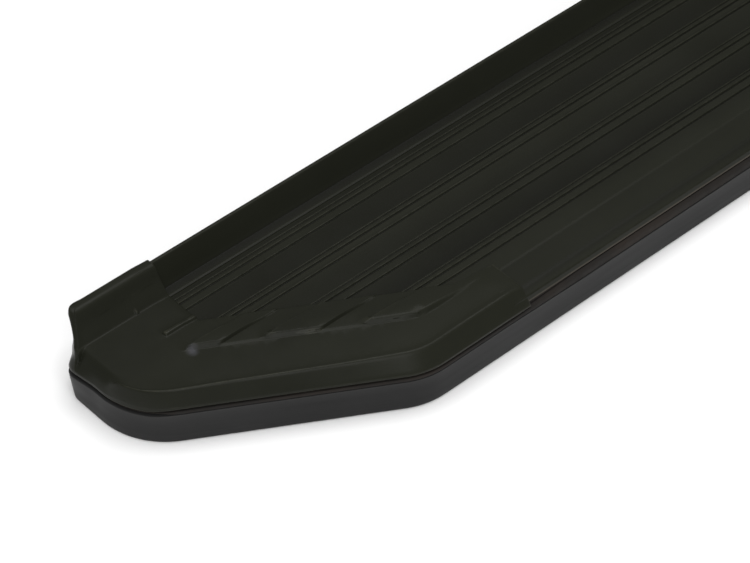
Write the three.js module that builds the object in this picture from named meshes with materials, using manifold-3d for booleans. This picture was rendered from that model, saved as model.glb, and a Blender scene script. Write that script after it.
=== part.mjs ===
// Fixed running board for a passenger vehicle, in millimetres.
// +X runs along the board, -Y is the outer side that people step on from, +Y is the vehicle side.
// The origin is under the middle of the board, on the surface that its lower edge stands on.
import * as THREE from 'three';
import { mergeVertices } from 'three/addons/utils/BufferGeometryUtils.js';
import Module from 'manifold-3d';

const wasm = await Module();
wasm.setup();

// Overall size
const LENGTH = 1700;
const WIDTH = 165;
const GAP = 0.3; // between pieces that touch
const HALF = LENGTH / 2;
const FRONT_Y = -WIDTH / 2;
const REAR_Y = WIDTH / 2;

// Plan outline of each end: a rear chamfer, a straight end, then a swept edge to the front
const CHAMFER_X = 14;
const CHAMFER_Y = 17;
const CHAMFER_RADIUS = 10;
const SWEEP_START_Y = 9.2;
const SWEEP_ANGLE = THREE.MathUtils.degToRad(31);
const END_RADIUS = 52;
const FRONT_RADIUS = 50;

// Heights above the lowest edge
const TREAD_Z = 37;
const DECK_BOTTOM_Z = 17;
const FLANGE_TOP_Z = 55;
const TRIM_TOP_Z = 21.5;
const CAP_LIP_Z = 28;

// Deck extrusion
const DECK_WALL = 2;
const DECK_TOP_WALL = 3;
const DECK_REAR_Y = 74;
const DECK_WEB_Y = -74.7;
const FLANGE_FOOT_Y = 70;
const FLANGE_LEAN = 8;
const FLANGE_HOLLOW = 0.9; // 1 is a flat face
const FLANGE_WALL = 2.6;
const TREAD_FRONT_Y = -54;
const TREAD_REAR_Y = 66.5;
const TREAD_STEP = 0.5;
const GROOVE_PITCH = 28.9;
const FIRST_GROOVES_Y = 51;
const GROOVE_SPACING = 6.6;
const GROOVE_WIDTH = 2;
const GROOVE_DEPTH = 1.2;
const FINE_GROOVE_OFFSET = 7.1;
const FINE_GROOVE_WIDTH = 1.2;
const FINE_GROOVE_DEPTH = 0.6;
const DECK_END_INSET = 20;

// Channels under the deck, and the T-bolts that slide along them
const CHANNEL_YS = [35, -35];
const CHANNEL_WIDTH = 17;
const CHANNEL_HEIGHT = 8;
const MOUTH_WIDTH = 9;
const LIP_THICKNESS = 2.5;
const BOLT_XS = [-520, 0, 520];
const BOLT_RADIUS = 4;
const BOLT_END_Z = 2;
const BOLT_HEAD = 14;
const BOLT_HEAD_HEIGHT = 5;
const WASHER_RADIUS = 10;
const WASHER_THICKNESS = 1.6;
const NUT_FLATS = 13;
const NUT_HEIGHT = 8;
const NUT_FLANGE_RADIUS = 8.5;
const NUT_FLANGE_HEIGHT = 1.8;

// End caps
const CAP_WALL = 2.2;
const CAP_LENGTH = 237;
const CAP_WALL_LENGTH = 74;
const CAP_FLOOR_Z = TREAD_Z + GAP + CAP_WALL;
const CAP_INNER_SWEEP_Y = 34.9;
const CAP_FRONT_STRIP_Y = -46;
const CAP_WALL_TOP_Z = 56.5;
const PAD_HEIGHT = 3;
const PAD_BANDS = [[-54, -33.5], [-22, -2.5], [9, 28.4]];
const PAD_SWEEP_Y = 50; // where the pads' outer edge would meet the end of the board
const PAD_END_DISTANCE = 24; // from the cap's inner end

// Side trim, seal bead and end bases
const TRIM_WALL = 2.5;
const TRIM_LEDGE = 7.3;
const BEAD_TOP_Z = 31;
const BASE_LENGTH = 205;
const BASE_THICKNESS = 2.7;
const TAB_XS = [-560, -280, 0, 280, 560];
const TAB_HALF_WIDTH = 12;
const TAB_INNER_Y = -52;
const TAB_SCREW_Y = -62;

// Self-tapping screws
const SCREW_RADIUS = 2;
const SCREW_HOLE_RADIUS = SCREW_RADIUS + GAP;
const SCREW_HEAD_RADIUS = 4.5;
const SCREW_HEAD_HEIGHT = 2.4;
const BOSS_RADIUS = 4.5;

const finish = (color, roughness, metalness) =>
  new THREE.MeshStandardMaterial({ color, roughness, metalness });
const MATERIALS = {
  deck: finish(0x2a2b27, 0.55, 0.4),
  cap: finish(0x2b2c28, 0.6, 0),
  trim: finish(0x3d3d3d, 0.5, 0),
  seal: finish(0x151514, 0.8, 0),
  base: finish(0x1d1d1c, 0.7, 0),
  zinc: finish(0xb9bcc0, 0.35, 1),
};

// ---- Solids -------------------------------------------------------------

function solidOf(geometry) {
  const bare = geometry.clone();
  bare.deleteAttribute('normal');
  bare.deleteAttribute('uv');
  const merged = mergeVertices(bare, 1e-4);
  return new wasm.Manifold(new wasm.Mesh({
    numProp: 3,
    vertProperties: new Float32Array(merged.attributes.position.array),
    triVerts: new Uint32Array(merged.index.array),
  }));
}

function geometryOf(solid) {
  const mesh = solid.getMesh();
  const geometry = new THREE.BufferGeometry();
  geometry.setAttribute('position', new THREE.BufferAttribute(mesh.vertProperties, 3));
  geometry.setIndex(new THREE.BufferAttribute(mesh.triVerts, 1));
  geometry.computeVertexNormals();
  return geometry;
}

const join = (...solids) => solids.reduce((all, solid) => all.add(solid));
const cut = (body, ...tools) => tools.reduce((left, tool) => left.subtract(tool), body);

const shapeOf = (points) => new THREE.Shape(points.map(([x, y]) => new THREE.Vector2(x, y)));

/** Upright prism over a plan outline. */
function prism(points, lowZ, highZ) {
  const geometry = new THREE.ExtrudeGeometry(shapeOf(points), {
    depth: highZ - lowZ, bevelEnabled: false,
  });
  return solidOf(geometry.translate(0, 0, lowZ));
}

/** Beam along X with a section in Y and Z. */
function beam(section, lowX, highX) {
  const geometry = new THREE.ExtrudeGeometry(shapeOf(section), {
    depth: highX - lowX, bevelEnabled: false,
  });
  const axes = new THREE.Matrix4().makeBasis(
    new THREE.Vector3(0, 1, 0), new THREE.Vector3(0, 0, 1), new THREE.Vector3(1, 0, 0),
  );
  return solidOf(geometry.applyMatrix4(axes).translate(lowX, 0, 0));
}

function box(low, high) {
  const size = high.map((value, i) => value - low[i]);
  const geometry = new THREE.BoxGeometry(...size);
  return solidOf(geometry.translate(...low.map((value, i) => value + size[i] / 2)));
}

function rod(radius, x, y, lowZ, highZ, segments = 16) {
  const geometry = new THREE.CylinderGeometry(radius, radius, highZ - lowZ, segments);
  return solidOf(geometry.rotateX(Math.PI / 2).translate(x, y, (lowZ + highZ) / 2));
}

function mirrored(geometry) {
  const copy = geometry.clone().scale(-1, 1, 1);
  const index = copy.index.array;
  for (let i = 0; i < index.length; i += 3) [index[i], index[i + 1]] = [index[i + 1], index[i]];
  copy.computeVertexNormals();
  return copy;
}

// ---- Plan outline -------------------------------------------------------

const sweepLength = (fromY, toY) => (fromY - toY) / Math.tan(SWEEP_ANGLE);

const LEFT_CORNERS = [
  { x: -HALF + CHAMFER_X, y: REAR_Y, radius: CHAMFER_RADIUS, steps: 2 },
  { x: -HALF, y: REAR_Y - CHAMFER_Y, radius: CHAMFER_RADIUS, steps: 2 },
  { x: -HALF, y: SWEEP_START_Y, radius: END_RADIUS, steps: 6 },
  { x: -HALF + sweepLength(SWEEP_START_Y, FRONT_Y), y: FRONT_Y, radius: FRONT_RADIUS, steps: 4 },
];
const RIGHT_CORNERS = LEFT_CORNERS.map((corner) => ({ ...corner, x: -corner.x })).reverse();
const CORNERS = [...LEFT_CORNERS, ...RIGHT_CORNERS];

/** The board's plan outline, counter-clockwise, moved inwards by inset. */
function outline(inset) {
  const points = [];
  CORNERS.forEach((corner, i) => {
    const here = new THREE.Vector2(corner.x, corner.y);
    const before = CORNERS.at(i - 1);
    const after = CORNERS[(i + 1) % CORNERS.length];
    const arriving = here.clone().sub(before).normalize();
    const leaving = new THREE.Vector2(after.x, after.y).sub(here).normalize();
    const inward = new THREE.Vector2(-arriving.y, arriving.x);
    const nextInward = new THREE.Vector2(-leaving.y, leaving.x);
    const turn = Math.acos(THREE.MathUtils.clamp(inward.dot(nextInward), -1, 1));
    const radius = Math.max(corner.radius - inset, 0.5);
    const moved = inward.clone().add(nextInward)
      .multiplyScalar(inset / (1 + inward.dot(nextInward)));
    const centre = here.clone().add(moved)
      .addScaledVector(arriving, -radius * Math.tan(turn / 2))
      .addScaledVector(inward, radius);
    const origin = new THREE.Vector2();
    for (let k = 0; k <= corner.steps; k += 1) {
      const spoke = inward.clone().rotateAround(origin, (turn * k) / corner.steps);
      points.push([centre.x - spoke.x * radius, centre.y - spoke.y * radius]);
    }
  });
  return points;
}

/** Closed solid through outlines at [inset, z] levels, from the lowest to the last. */
function stack(levels) {
  const rings = levels.map(([inset, z]) => outline(inset).map(([x, y]) => [x, y, z]));
  const count = rings[0].length;
  const triangles = [];
  for (let r = 0; r + 1 < rings.length; r += 1) {
    for (let i = 0; i < count; i += 1) {
      const j = (i + 1) % count;
      const [a, b] = [r * count + i, r * count + j];
      triangles.push(a, b, b + count, a, b + count, a + count);
    }
  }
  const close = (ring, start, faceUp) => {
    const flat = ring.map(([x, y]) => new THREE.Vector2(x, y));
    for (const [a, b, c] of THREE.ShapeUtils.triangulateShape(flat, [])) {
      triangles.push(start + (faceUp ? a : c), start + b, start + (faceUp ? c : a));
    }
  };
  close(rings[0], 0, false);
  close(rings.at(-1), (rings.length - 1) * count, true);
  const geometry = new THREE.BufferGeometry();
  geometry.setAttribute('position', new THREE.Float32BufferAttribute(rings.flat(2), 3));
  geometry.setIndex(triangles);
  return solidOf(geometry);
}

/** The part of the plan beyond the deck's cut end, moved inwards by inset, as a tool at the left end. */
function endZone(inset, lowZ, highZ) {
  const edgeX = -HALF + inset;
  const sweepY = SWEEP_START_Y + inset * (1 / Math.cos(SWEEP_ANGLE) - Math.tan(SWEEP_ANGLE));
  const farY = FRONT_Y - 20;
  return prism([
    [-HALF - 20, farY], [edgeX + sweepLength(sweepY, farY), farY],
    [edgeX, sweepY], [edgeX, REAR_Y + 20], [-HALF - 20, REAR_Y + 20],
  ], lowZ, highZ);
}

// ---- Deck extrusion -----------------------------------------------------

/** Top of the tread from the vehicle side to the front, with its groove pairs. */
function treadLine() {
  const points = [[TREAD_REAR_Y + 1, TREAD_Z - TREAD_STEP], [TREAD_REAR_Y, TREAD_Z]];
  const groove = (y, width, depth) => points.push(
    [y + width / 2, TREAD_Z], [y + width / 4, TREAD_Z - depth],
    [y - width / 4, TREAD_Z - depth], [y - width / 2, TREAD_Z],
  );
  for (let pair = 0; pair < 4; pair += 1) {
    const y = FIRST_GROOVES_Y - pair * GROOVE_PITCH;
    groove(y + FINE_GROOVE_OFFSET, FINE_GROOVE_WIDTH, FINE_GROOVE_DEPTH);
    groove(y + GROOVE_SPACING / 2, GROOVE_WIDTH, GROOVE_DEPTH);
    groove(y - GROOVE_SPACING / 2, GROOVE_WIDTH, GROOVE_DEPTH);
  }
  points.push([TREAD_FRONT_Y, TREAD_Z], [TREAD_FRONT_Y - 1, TREAD_Z - TREAD_STEP]);
  return points;
}

/** The flange's inner face leans outwards and is slightly hollow. */
function flangeY(z) {
  const share = (z - TREAD_Z) / (FLANGE_TOP_Z - TREAD_Z);
  return FLANGE_FOOT_Y + FLANGE_LEAN * share ** FLANGE_HOLLOW;
}

/** Upright flange at the vehicle side, from its rear foot over the top to its inner foot. */
function flangeLine(grow = 0) {
  const top = FLANGE_TOP_Z + grow;
  const heights = [TREAD_Z + 4, TREAD_Z + 9, top - 1.2];
  const rear = heights.map((z) => [flangeY(z) + FLANGE_WALL + grow, z]);
  const front = heights.map((z) => [flangeY(z) - grow, z]).reverse();
  const crown = [[flangeY(top) + FLANGE_WALL + grow - 0.7, top], [flangeY(top) - grow + 0.7, top]];
  return [...rear, ...crown, ...front];
}

function deckSection() {
  const nose = [
    [-74.5, TREAD_Z - TREAD_STEP], [-76.8, TREAD_Z - 1.2], [-78.4, TREAD_Z - 2.4],
    [-79.4, TREAD_Z - 3.8], [-79.7, TREAD_Z - 5], [-79.2, TREAD_Z - 5.6],
  ];
  const underside = [[DECK_WEB_Y, TREAD_Z - 5.6], [DECK_WEB_Y, DECK_BOTTOM_Z]];
  for (const y of [...CHANNEL_YS].reverse()) {
    const floor = DECK_BOTTOM_Z + LIP_THICKNESS;
    underside.push(
      [y - MOUTH_WIDTH / 2, DECK_BOTTOM_Z], [y - MOUTH_WIDTH / 2, floor],
      [y - CHANNEL_WIDTH / 2, floor], [y - CHANNEL_WIDTH / 2, floor + CHANNEL_HEIGHT],
      [y + CHANNEL_WIDTH / 2, floor + CHANNEL_HEIGHT], [y + CHANNEL_WIDTH / 2, floor],
      [y + MOUTH_WIDTH / 2, floor], [y + MOUTH_WIDTH / 2, DECK_BOTTOM_Z],
    );
  }
  const rear = [[DECK_REAR_Y, DECK_BOTTOM_Z], [DECK_REAR_Y, TREAD_Z - 1]];
  const foot = [[FLANGE_FOOT_Y - 0.4, TREAD_Z - TREAD_STEP]];
  return [...rear, ...flangeLine(), ...foot, ...treadLine(), ...nose, ...underside];
}

/** Hollow chambers between the outer walls, the ribs and the channels' own walls. */
function deckChambers() {
  const low = DECK_BOTTOM_Z + DECK_WALL;
  const high = TREAD_Z - DECK_TOP_WALL;
  const roof = DECK_BOTTOM_Z + LIP_THICKNESS + CHANNEL_HEIGHT + DECK_WALL;
  const side = CHANNEL_WIDTH / 2 + DECK_WALL;
  const [rearY, frontY] = CHANNEL_YS;
  const ribHalf = DECK_WALL / 2;
  const room = (fromY, toY, fromZ) => [[fromY, fromZ], [toY, fromZ], [toY, high], [fromY, high]];
  return [
    room(DECK_WEB_Y + DECK_WALL, frontY - side, low),
    room(frontY - side + DECK_WALL, frontY + side - DECK_WALL, roof),
    room(frontY + side, -ribHalf, low),
    room(ribHalf, rearY - side, low),
    room(rearY - side + DECK_WALL, rearY + side - DECK_WALL, roof),
    room(rearY + side, DECK_REAR_Y - DECK_WALL - 3.4, low),
  ];
}

// Where screws hold each end base to the deck and to its cap, at the left end
const BASE_DECK_SCREWS = [[-780, 58], [-690, -3]];
const BASE_CAP_SCREWS = [[-836.3, 36], [-802, -4.3]];

function buildDeck() {
  const whole = beam(deckSection(), -HALF, HALF);
  const chambers = deckChambers().map((room) => beam(room, -HALF - 1, HALF + 1));
  const leftEnd = endZone(DECK_END_INSET, 0, 80);
  const rightEnd = solidOf(mirrored(geometryOf(leftEnd)));
  const holes = TAB_XS.map((x) => rod(SCREW_HOLE_RADIUS, x, TAB_SCREW_Y, 15, 20));
  for (const [x, y] of BASE_DECK_SCREWS) {
    for (const side of [1, -1]) holes.push(rod(SCREW_HOLE_RADIUS, side * x, y, 15, 20));
  }
  return geometryOf(cut(whole, ...chambers, leftEnd, rightEnd, ...holes));
}

// ---- End cap (left; the right one is its mirror image) ------------------

// Cross-sections round the cap, as inset and height: its rim from the lip over the rounded
// shoulder to the floor, the raised ridge, and the space under the cap
const RIM_LEVELS = [
  [GAP, CAP_LIP_Z], [GAP, 31], [1.1, 34.2], [2.8, 36.6], [4.6, CAP_FLOOR_Z - 1.1],
  [6.6, CAP_FLOOR_Z - 0.3], [8.6, CAP_FLOOR_Z],
];
const RIDGE_LEVELS = [
  [7.2, CAP_FLOOR_Z - 1], [7.4, CAP_FLOOR_Z + 0.3], [8.2, CAP_FLOOR_Z + 1.1],
  [9.2, CAP_FLOOR_Z + 1.1], [10.2, CAP_FLOOR_Z],
];
const RIDGE_END_Y = 28;
const CAVITY_LEVELS = [
  [GAP + CAP_WALL, CAP_LIP_Z - 1], [GAP + CAP_WALL, 32.6], [3.3, 34.2], [4.6, 35.6],
  [7, TREAD_Z + GAP],
];

/** Plan of the opening that leaves the deck's tread bare inside the cap. */
function treadWindow() {
  const startX = -HALF + CAP_WALL_LENGTH;
  const sweepEndX = startX + sweepLength(CAP_INNER_SWEEP_Y, CAP_FRONT_STRIP_Y);
  const endX = -HALF + CAP_LENGTH;
  return [
    [startX, REAR_Y + 20], [startX, CAP_INNER_SWEEP_Y], [sweepEndX, CAP_FRONT_STRIP_Y],
    [endX, CAP_FRONT_STRIP_Y - 2], [endX, FRONT_Y - 20],
    [HALF + 20, FRONT_Y - 20], [HALF + 20, REAR_Y + 20],
  ];
}

/** Raised pads in line with the deck's groove pairs, with a sloping outer edge. */
function capPads() {
  const low = TREAD_Z + GAP + CAP_WALL / 2;
  const layers = [[0, low, CAP_FLOOR_Z + PAD_HEIGHT * 0.45], [1.8, low, CAP_FLOOR_Z + PAD_HEIGHT]];
  const frontY = PAD_BANDS[0][0];
  const endX = -HALF + CAP_LENGTH - PAD_END_DISTANCE;
  const pads = [];
  for (const [inset, bottom, top] of layers) {
    const startX = -HALF + inset * 2;
    const sweepEndX = startX + sweepLength(PAD_SWEEP_Y, frontY);
    const swept = prism([
      [startX, PAD_SWEEP_Y], [sweepEndX, frontY], [endX, frontY], [endX, PAD_SWEEP_Y],
    ], bottom, top);
    for (const [lowY, highY] of PAD_BANDS) {
      const band = box([-HALF, lowY + inset, bottom - 1], [0, highY - inset, top + 1]);
      pads.push(swept.intersect(band));
    }
  }
  return join(...pads);
}

function capUpright() {
  const crown = [[76.6, CAP_WALL_TOP_Z], [75.2, CAP_WALL_TOP_Z - 0.8]];
  const slope = [[72, 50.2], [70.2, 46.2], [67.5, 42.9], [63.5, 40.4], [61.2, CAP_FLOOR_Z - 0.1]];
  const rear = [[REAR_Y, CAP_LIP_Z], [REAR_Y, CAP_WALL_TOP_Z - 1.5], [REAR_Y - 1.5, CAP_WALL_TOP_Z]];
  const section = [[61.2, CAP_LIP_Z], ...rear, ...crown, ...slope];
  return beam(section, -HALF, -HALF + CAP_WALL_LENGTH).intersect(stack([[0, 0], [0, 80]]));
}

/** Space for the flange and the deck's rear edge inside the cap's upright, open at the bottom. */
function uprightCavity() {
  const hollow = [
    [62, CAP_LIP_Z - 1], [DECK_REAR_Y + 4, CAP_LIP_Z - 1], [DECK_REAR_Y + 4, TREAD_Z],
    ...flangeLine(GAP), [FLANGE_FOOT_Y - GAP, TREAD_Z + GAP], [62, TREAD_Z + GAP],
  ];
  return beam(hollow, -HALF + DECK_END_INSET - GAP, -HALF + CAP_WALL_LENGTH + 5)
    .intersect(stack([[2, 0], [2, 80]]));
}

function buildCap() {
  const window = prism(treadWindow(), 0, 80);
  const ridge = stack(RIDGE_LEVELS).intersect(box([-HALF, FRONT_Y, 0], [0, RIDGE_END_Y, 80]));
  const rim = cut(join(stack(RIM_LEVELS), ridge), window);
  const upright = capUpright();
  const rib = box([-801, 36.3, CAP_FLOOR_Z - 1], [-777, 40.7, CAP_FLOOR_Z + 1.2]);
  const bosses = BASE_CAP_SCREWS.map(([x, y]) => rod(BOSS_RADIUS, x, y, 24, CAP_FLOOR_Z - 1));
  const holes = BASE_CAP_SCREWS.map(([x, y]) => rod(SCREW_HOLE_RADIUS, x, y, 20, 34));
  const cavity = stack(CAVITY_LEVELS);
  const shell = cut(join(rim, upright), cavity, uprightCavity());
  const raised = cut(capPads(), window);
  return geometryOf(cut(join(shell, raised, rib, ...bosses), ...holes));
}

// ---- Side trim, seal bead and end bases ---------------------------------

const ring = (outer, inner, lowZ, highZ) =>
  cut(stack([[outer, lowZ], [outer, highZ]]), stack([[inner, lowZ - 1], [inner, highZ + 1]]));

/** Everything between the two ends at the vehicle side, where the trim and bead stop. */
const openRear = () => box(
  [-HALF + CHAMFER_X + 2, REAR_Y - 25, -5], [HALF - CHAMFER_X - 2, REAR_Y + 5, 60],
);

function buildTrim() {
  const face = cut(
    stack([[1, 0], [0, 1.5], [0, TRIM_TOP_Z - 1.5], [0.8, TRIM_TOP_Z]]),
    stack([[TRIM_WALL, -1], [TRIM_WALL, TRIM_TOP_Z + 1]]),
  );
  const foot = ring(TRIM_WALL - 0.5, 6, 0, TRIM_WALL);
  const ledge = ring(TRIM_WALL - 0.5, TRIM_LEDGE, TRIM_TOP_Z - TRIM_WALL, TRIM_TOP_Z);
  const tabTop = DECK_BOTTOM_Z - GAP;
  const tabs = TAB_XS.map((x) => box(
    [x - TAB_HALF_WIDTH, FRONT_Y + 1.5, tabTop - BASE_THICKNESS],
    [x + TAB_HALF_WIDTH, TAB_INNER_Y, tabTop],
  ));
  const holes = TAB_XS.map((x) => rod(SCREW_HOLE_RADIUS, x, TAB_SCREW_Y, 10, 20));
  return geometryOf(cut(join(face, foot, ledge, ...tabs), openRear(), ...holes));
}

function buildSeal() {
  const low = TRIM_TOP_Z + GAP;
  const high = CAP_LIP_Z - GAP;
  const body = stack([
    [1.4, low], [0.7, low + 1.2], [0.5, (low + high) / 2], [0.9, high - 1],
    [3.1, high], [3.1, BEAD_TOP_Z],
  ]);
  return geometryOf(cut(body, stack([[7, low - 1], [7, BEAD_TOP_Z + 1]]), openRear()));
}

/** Moulded base that closes the underside of the left end and carries its cap. */
function buildBase() {
  const top = DECK_BOTTOM_Z - GAP;
  const low = top - BASE_THICKNESS;
  const reach = box([-HALF - 5, FRONT_Y - 5, -5], [-HALF + BASE_LENGTH, REAR_Y - 9, 60]);
  const plate = stack([[TRIM_WALL + GAP, low], [TRIM_WALL + GAP, top]]).intersect(reach);
  const bossTop = 23.5;
  const recesses = BASE_CAP_SCREWS.map(([x, y]) => rod(BOSS_RADIUS + 1, x, y, bossTop, TREAD_Z));
  const wall = cut(ring(8, 10, low + 1, TREAD_Z - 0.5), ...recesses)
    .intersect(endZone(DECK_END_INSET - 1, -5, 60)).intersect(reach);
  const bosses = BASE_CAP_SCREWS.map(([x, y]) => rod(BOSS_RADIUS + 1, x, y, low + 1, bossTop));
  const screws = [...BASE_DECK_SCREWS, ...BASE_CAP_SCREWS];
  const holes = screws.map(([x, y]) => rod(SCREW_HOLE_RADIUS, x, y, 0, 30));
  return geometryOf(cut(join(plate, wall, ...bosses), ...holes));
}

// ---- Fasteners ----------------------------------------------------------

function buildBolt() {
  const headLow = DECK_BOTTOM_Z + LIP_THICKNESS + GAP;
  const half = BOLT_HEAD / 2;
  const head = box([-half, -half, headLow], [half, half, headLow + BOLT_HEAD_HEIGHT]);
  return geometryOf(join(head, rod(BOLT_RADIUS, 0, 0, BOLT_END_Z, headLow + 1)));
}

function buildWasher() {
  const high = DECK_BOTTOM_Z - GAP;
  const low = high - WASHER_THICKNESS;
  const disc = rod(WASHER_RADIUS, 0, 0, low, high, 24);
  return geometryOf(cut(disc, rod(BOLT_RADIUS + GAP, 0, 0, low - 1, high + 1)));
}

function buildNut() {
  const high = DECK_BOTTOM_Z - GAP * 2 - WASHER_THICKNESS;
  const low = high - NUT_HEIGHT;
  const hex = rod(NUT_FLATS / 2 / Math.cos(Math.PI / 6), 0, 0, low, high, 6);
  const flange = rod(NUT_FLANGE_RADIUS, 0, 0, high - NUT_FLANGE_HEIGHT, high, 24);
  return geometryOf(cut(join(hex, flange), rod(BOLT_RADIUS + GAP, 0, 0, low - 1, high + 1)));
}

/** Pan-head screw pointing up, with its head's seat at seatZ. */
function buildScrew(seatZ, tipZ) {
  const low = seatZ - GAP - SCREW_HEAD_HEIGHT;
  const profile = [
    [0, low], [SCREW_HEAD_RADIUS - 1.2, low], [SCREW_HEAD_RADIUS, low + 1.2],
    [SCREW_HEAD_RADIUS, seatZ - GAP], [SCREW_RADIUS, seatZ - GAP],
    [SCREW_RADIUS, tipZ - 2], [0, tipZ],
  ];
  const geometry = new THREE.LatheGeometry(profile.map(([r, z]) => new THREE.Vector2(r, z)), 12);
  return geometryOf(solidOf(geometry.rotateX(Math.PI / 2)));
}

// ---- Assembly -----------------------------------------------------------

const board = new THREE.Group();

function place(name, geometry, material, x = 0, y = 0) {
  const mesh = new THREE.Mesh(geometry, material);
  mesh.name = name;
  mesh.position.set(x, y, 0);
  board.add(mesh);
}

place('deck_extrusion', buildDeck(), MATERIALS.deck);
place('side_trim', buildTrim(), MATERIALS.trim);
place('seal_bead', buildSeal(), MATERIALS.seal);

const leftCap = buildCap();
const leftBase = buildBase();
place('end_cap_left', leftCap, MATERIALS.cap);
place('end_cap_right', mirrored(leftCap), MATERIALS.cap);
place('end_base_left', leftBase, MATERIALS.base);
place('end_base_right', mirrored(leftBase), MATERIALS.base);

const bolt = buildBolt();
const washer = buildWasher();
const nut = buildNut();
for (const [row, y] of CHANNEL_YS.entries()) {
  for (const [column, x] of BOLT_XS.entries()) {
    const where = `${row === 0 ? 'rear' : 'front'}_${column + 1}`;
    place(`t_bolt_${where}`, bolt, MATERIALS.zinc, x, y);
    place(`washer_${where}`, washer, MATERIALS.zinc, x, y);
    place(`flange_nut_${where}`, nut, MATERIALS.zinc, x, y);
  }
}

const seatZ = DECK_BOTTOM_Z - GAP - BASE_THICKNESS;
const shortScrew = buildScrew(seatZ, DECK_BOTTOM_Z + 8);
const longScrew = buildScrew(seatZ, DECK_BOTTOM_Z + 15);
TAB_XS.forEach((x, i) => place(`trim_screw_${i + 1}`, shortScrew, MATERIALS.zinc, x, TAB_SCREW_Y));
for (const [side, word] of [[1, 'left'], [-1, 'right']]) {
  BASE_DECK_SCREWS.forEach(([x, y], i) =>
    place(`base_screw_${word}_${i + 1}`, shortScrew, MATERIALS.zinc, side * x, y));
  BASE_CAP_SCREWS.forEach(([x, y], i) =>
    place(`cap_screw_${word}_${i + 1}`, longScrew, MATERIALS.zinc, side * x, y));
}

export default board;
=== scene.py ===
"""Looks of a fixed running board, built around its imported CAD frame.

+X runs along the board, -Y is its outer side and +Y the vehicle side. Shapes are worked out in
millimetres and become metres when a mesh is made.
"""

import math

import bpy
import bmesh
import numpy as np
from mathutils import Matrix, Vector
from mathutils.geometry import delaunay_2d_cdt


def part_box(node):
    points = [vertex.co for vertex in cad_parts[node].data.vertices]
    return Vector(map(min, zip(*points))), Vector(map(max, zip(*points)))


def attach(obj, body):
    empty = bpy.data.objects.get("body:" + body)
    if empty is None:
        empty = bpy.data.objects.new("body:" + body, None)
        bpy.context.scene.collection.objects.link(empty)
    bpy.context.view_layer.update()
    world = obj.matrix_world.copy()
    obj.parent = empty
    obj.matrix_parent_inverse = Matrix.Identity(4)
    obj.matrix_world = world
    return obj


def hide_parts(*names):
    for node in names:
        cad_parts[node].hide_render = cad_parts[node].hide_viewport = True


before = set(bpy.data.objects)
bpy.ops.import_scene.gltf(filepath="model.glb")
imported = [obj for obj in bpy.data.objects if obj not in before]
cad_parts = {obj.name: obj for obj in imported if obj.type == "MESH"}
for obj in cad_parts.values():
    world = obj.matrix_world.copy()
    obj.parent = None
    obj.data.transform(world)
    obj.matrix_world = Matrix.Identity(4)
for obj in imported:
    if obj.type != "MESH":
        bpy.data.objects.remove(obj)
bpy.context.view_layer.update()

MM = 0.001


def box_mm(node):
    """Lowest and highest corner of a CAD node, in millimetres."""
    low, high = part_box(node)
    return np.array(low) / MM, np.array(high) / MM


def node_axis(node):
    """Plan centre and lowest and highest point of a CAD node."""
    low, high = box_mm(node)
    return (low[0] + high[0]) / 2, (low[1] + high[1]) / 2, low[2], high[2]


HALF = box_mm("side_trim")[1][0]
FRONT_Y = box_mm("side_trim")[0][1]
REAR_Y = -FRONT_Y

# Plan outline of each end: (x, y, radius) of its corners, from the vehicle side to the front
CHAMFER_X, CHAMFER_Y, CHAMFER_RADIUS = 14.0, 17.0, 10.0
SWEEP_START_Y = 9.2
SWEEP = math.radians(31)
SWEEP_RUN = (SWEEP_START_Y - FRONT_Y) / math.tan(SWEEP)
SWEEP_NORMAL = np.array([math.sin(SWEEP), math.cos(SWEEP)])
CORNERS = [
    (-HALF + CHAMFER_X, REAR_Y, CHAMFER_RADIUS),
    (-HALF, REAR_Y - CHAMFER_Y, CHAMFER_RADIUS),
    (-HALF, SWEEP_START_Y, 52.0),
    (-HALF + SWEEP_RUN, FRONT_Y, 50.0),
]
ARC_STEPS = [8, 8, 24, 14]
EDGE_STEPS = [4, 24, 64]  # along the straight runs after corners 1, 2 and 3

# Heights
TREAD_Z = 37.0
DECK_BOTTOM_Z = box_mm("deck_extrusion")[0][2]
FLANGE_TOP_Z = box_mm("deck_extrusion")[1][2]
TRIM_TOP_Z = box_mm("side_trim")[1][2]
CAP_LIP_Z = 27.0
LIP_DROP = 2.0  # the lip is lower at the very end of the board
SWEEP_RISE = 1.3  # the trim and the bead stand higher along the sweep
NOSE_LOW_Z = 29.0
CAP_TOP_Z = box_mm("end_cap_left")[1][2]
BEAD_LOW_Z, BEAD_TOP_Z = box_mm("seal_bead")[0][2], box_mm("seal_bead")[1][2]
CAP_FLOOR_Z = 39.5
CAP_ROOF_Z = 37.3

# Deck
FLANGE_FOOT_Y = 70.0
FLANGE_LEAN = 8.0
FLANGE_WALL = 2.6
DECK_REAR_Y = 74.0
DECK_WEB_Y = -74.7
DECK_WALL = 2.0
DECK_TOP_WALL = 3.0
DECK_END_INSET = 20.0
END_KINK_Y = SWEEP_START_Y + DECK_END_INSET * (1 / math.cos(SWEEP) - math.tan(SWEEP))
NOSE_KINKS = (-72.6, -74.2)
NOSE_END_X = -HALF + 226
# band along the deck nose's lower edge that gets a painted highlight
NOSE_HIGHLIGHT_Y = (-79.2, -79.55)
NOSE_HIGHLIGHT_Z = (30.6, 30.2)
GROOVE_PITCH = 28.9
GROOVE_PAIRS = [51.0 - GROOVE_PITCH * i for i in range(4)]
GROOVE_SPACING = 6.6
FINE_GROOVE_OFFSET = 7.1
CHANNEL_YS = (35.0, -35.0)
CHANNEL_MOUTH, CHANNEL_SIDE = 4.5, 8.5
CHANNEL_LIP_Z = DECK_BOTTOM_Z + 2.5
CHANNEL_ROOF_Z = CHANNEL_LIP_Z + 8

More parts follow.
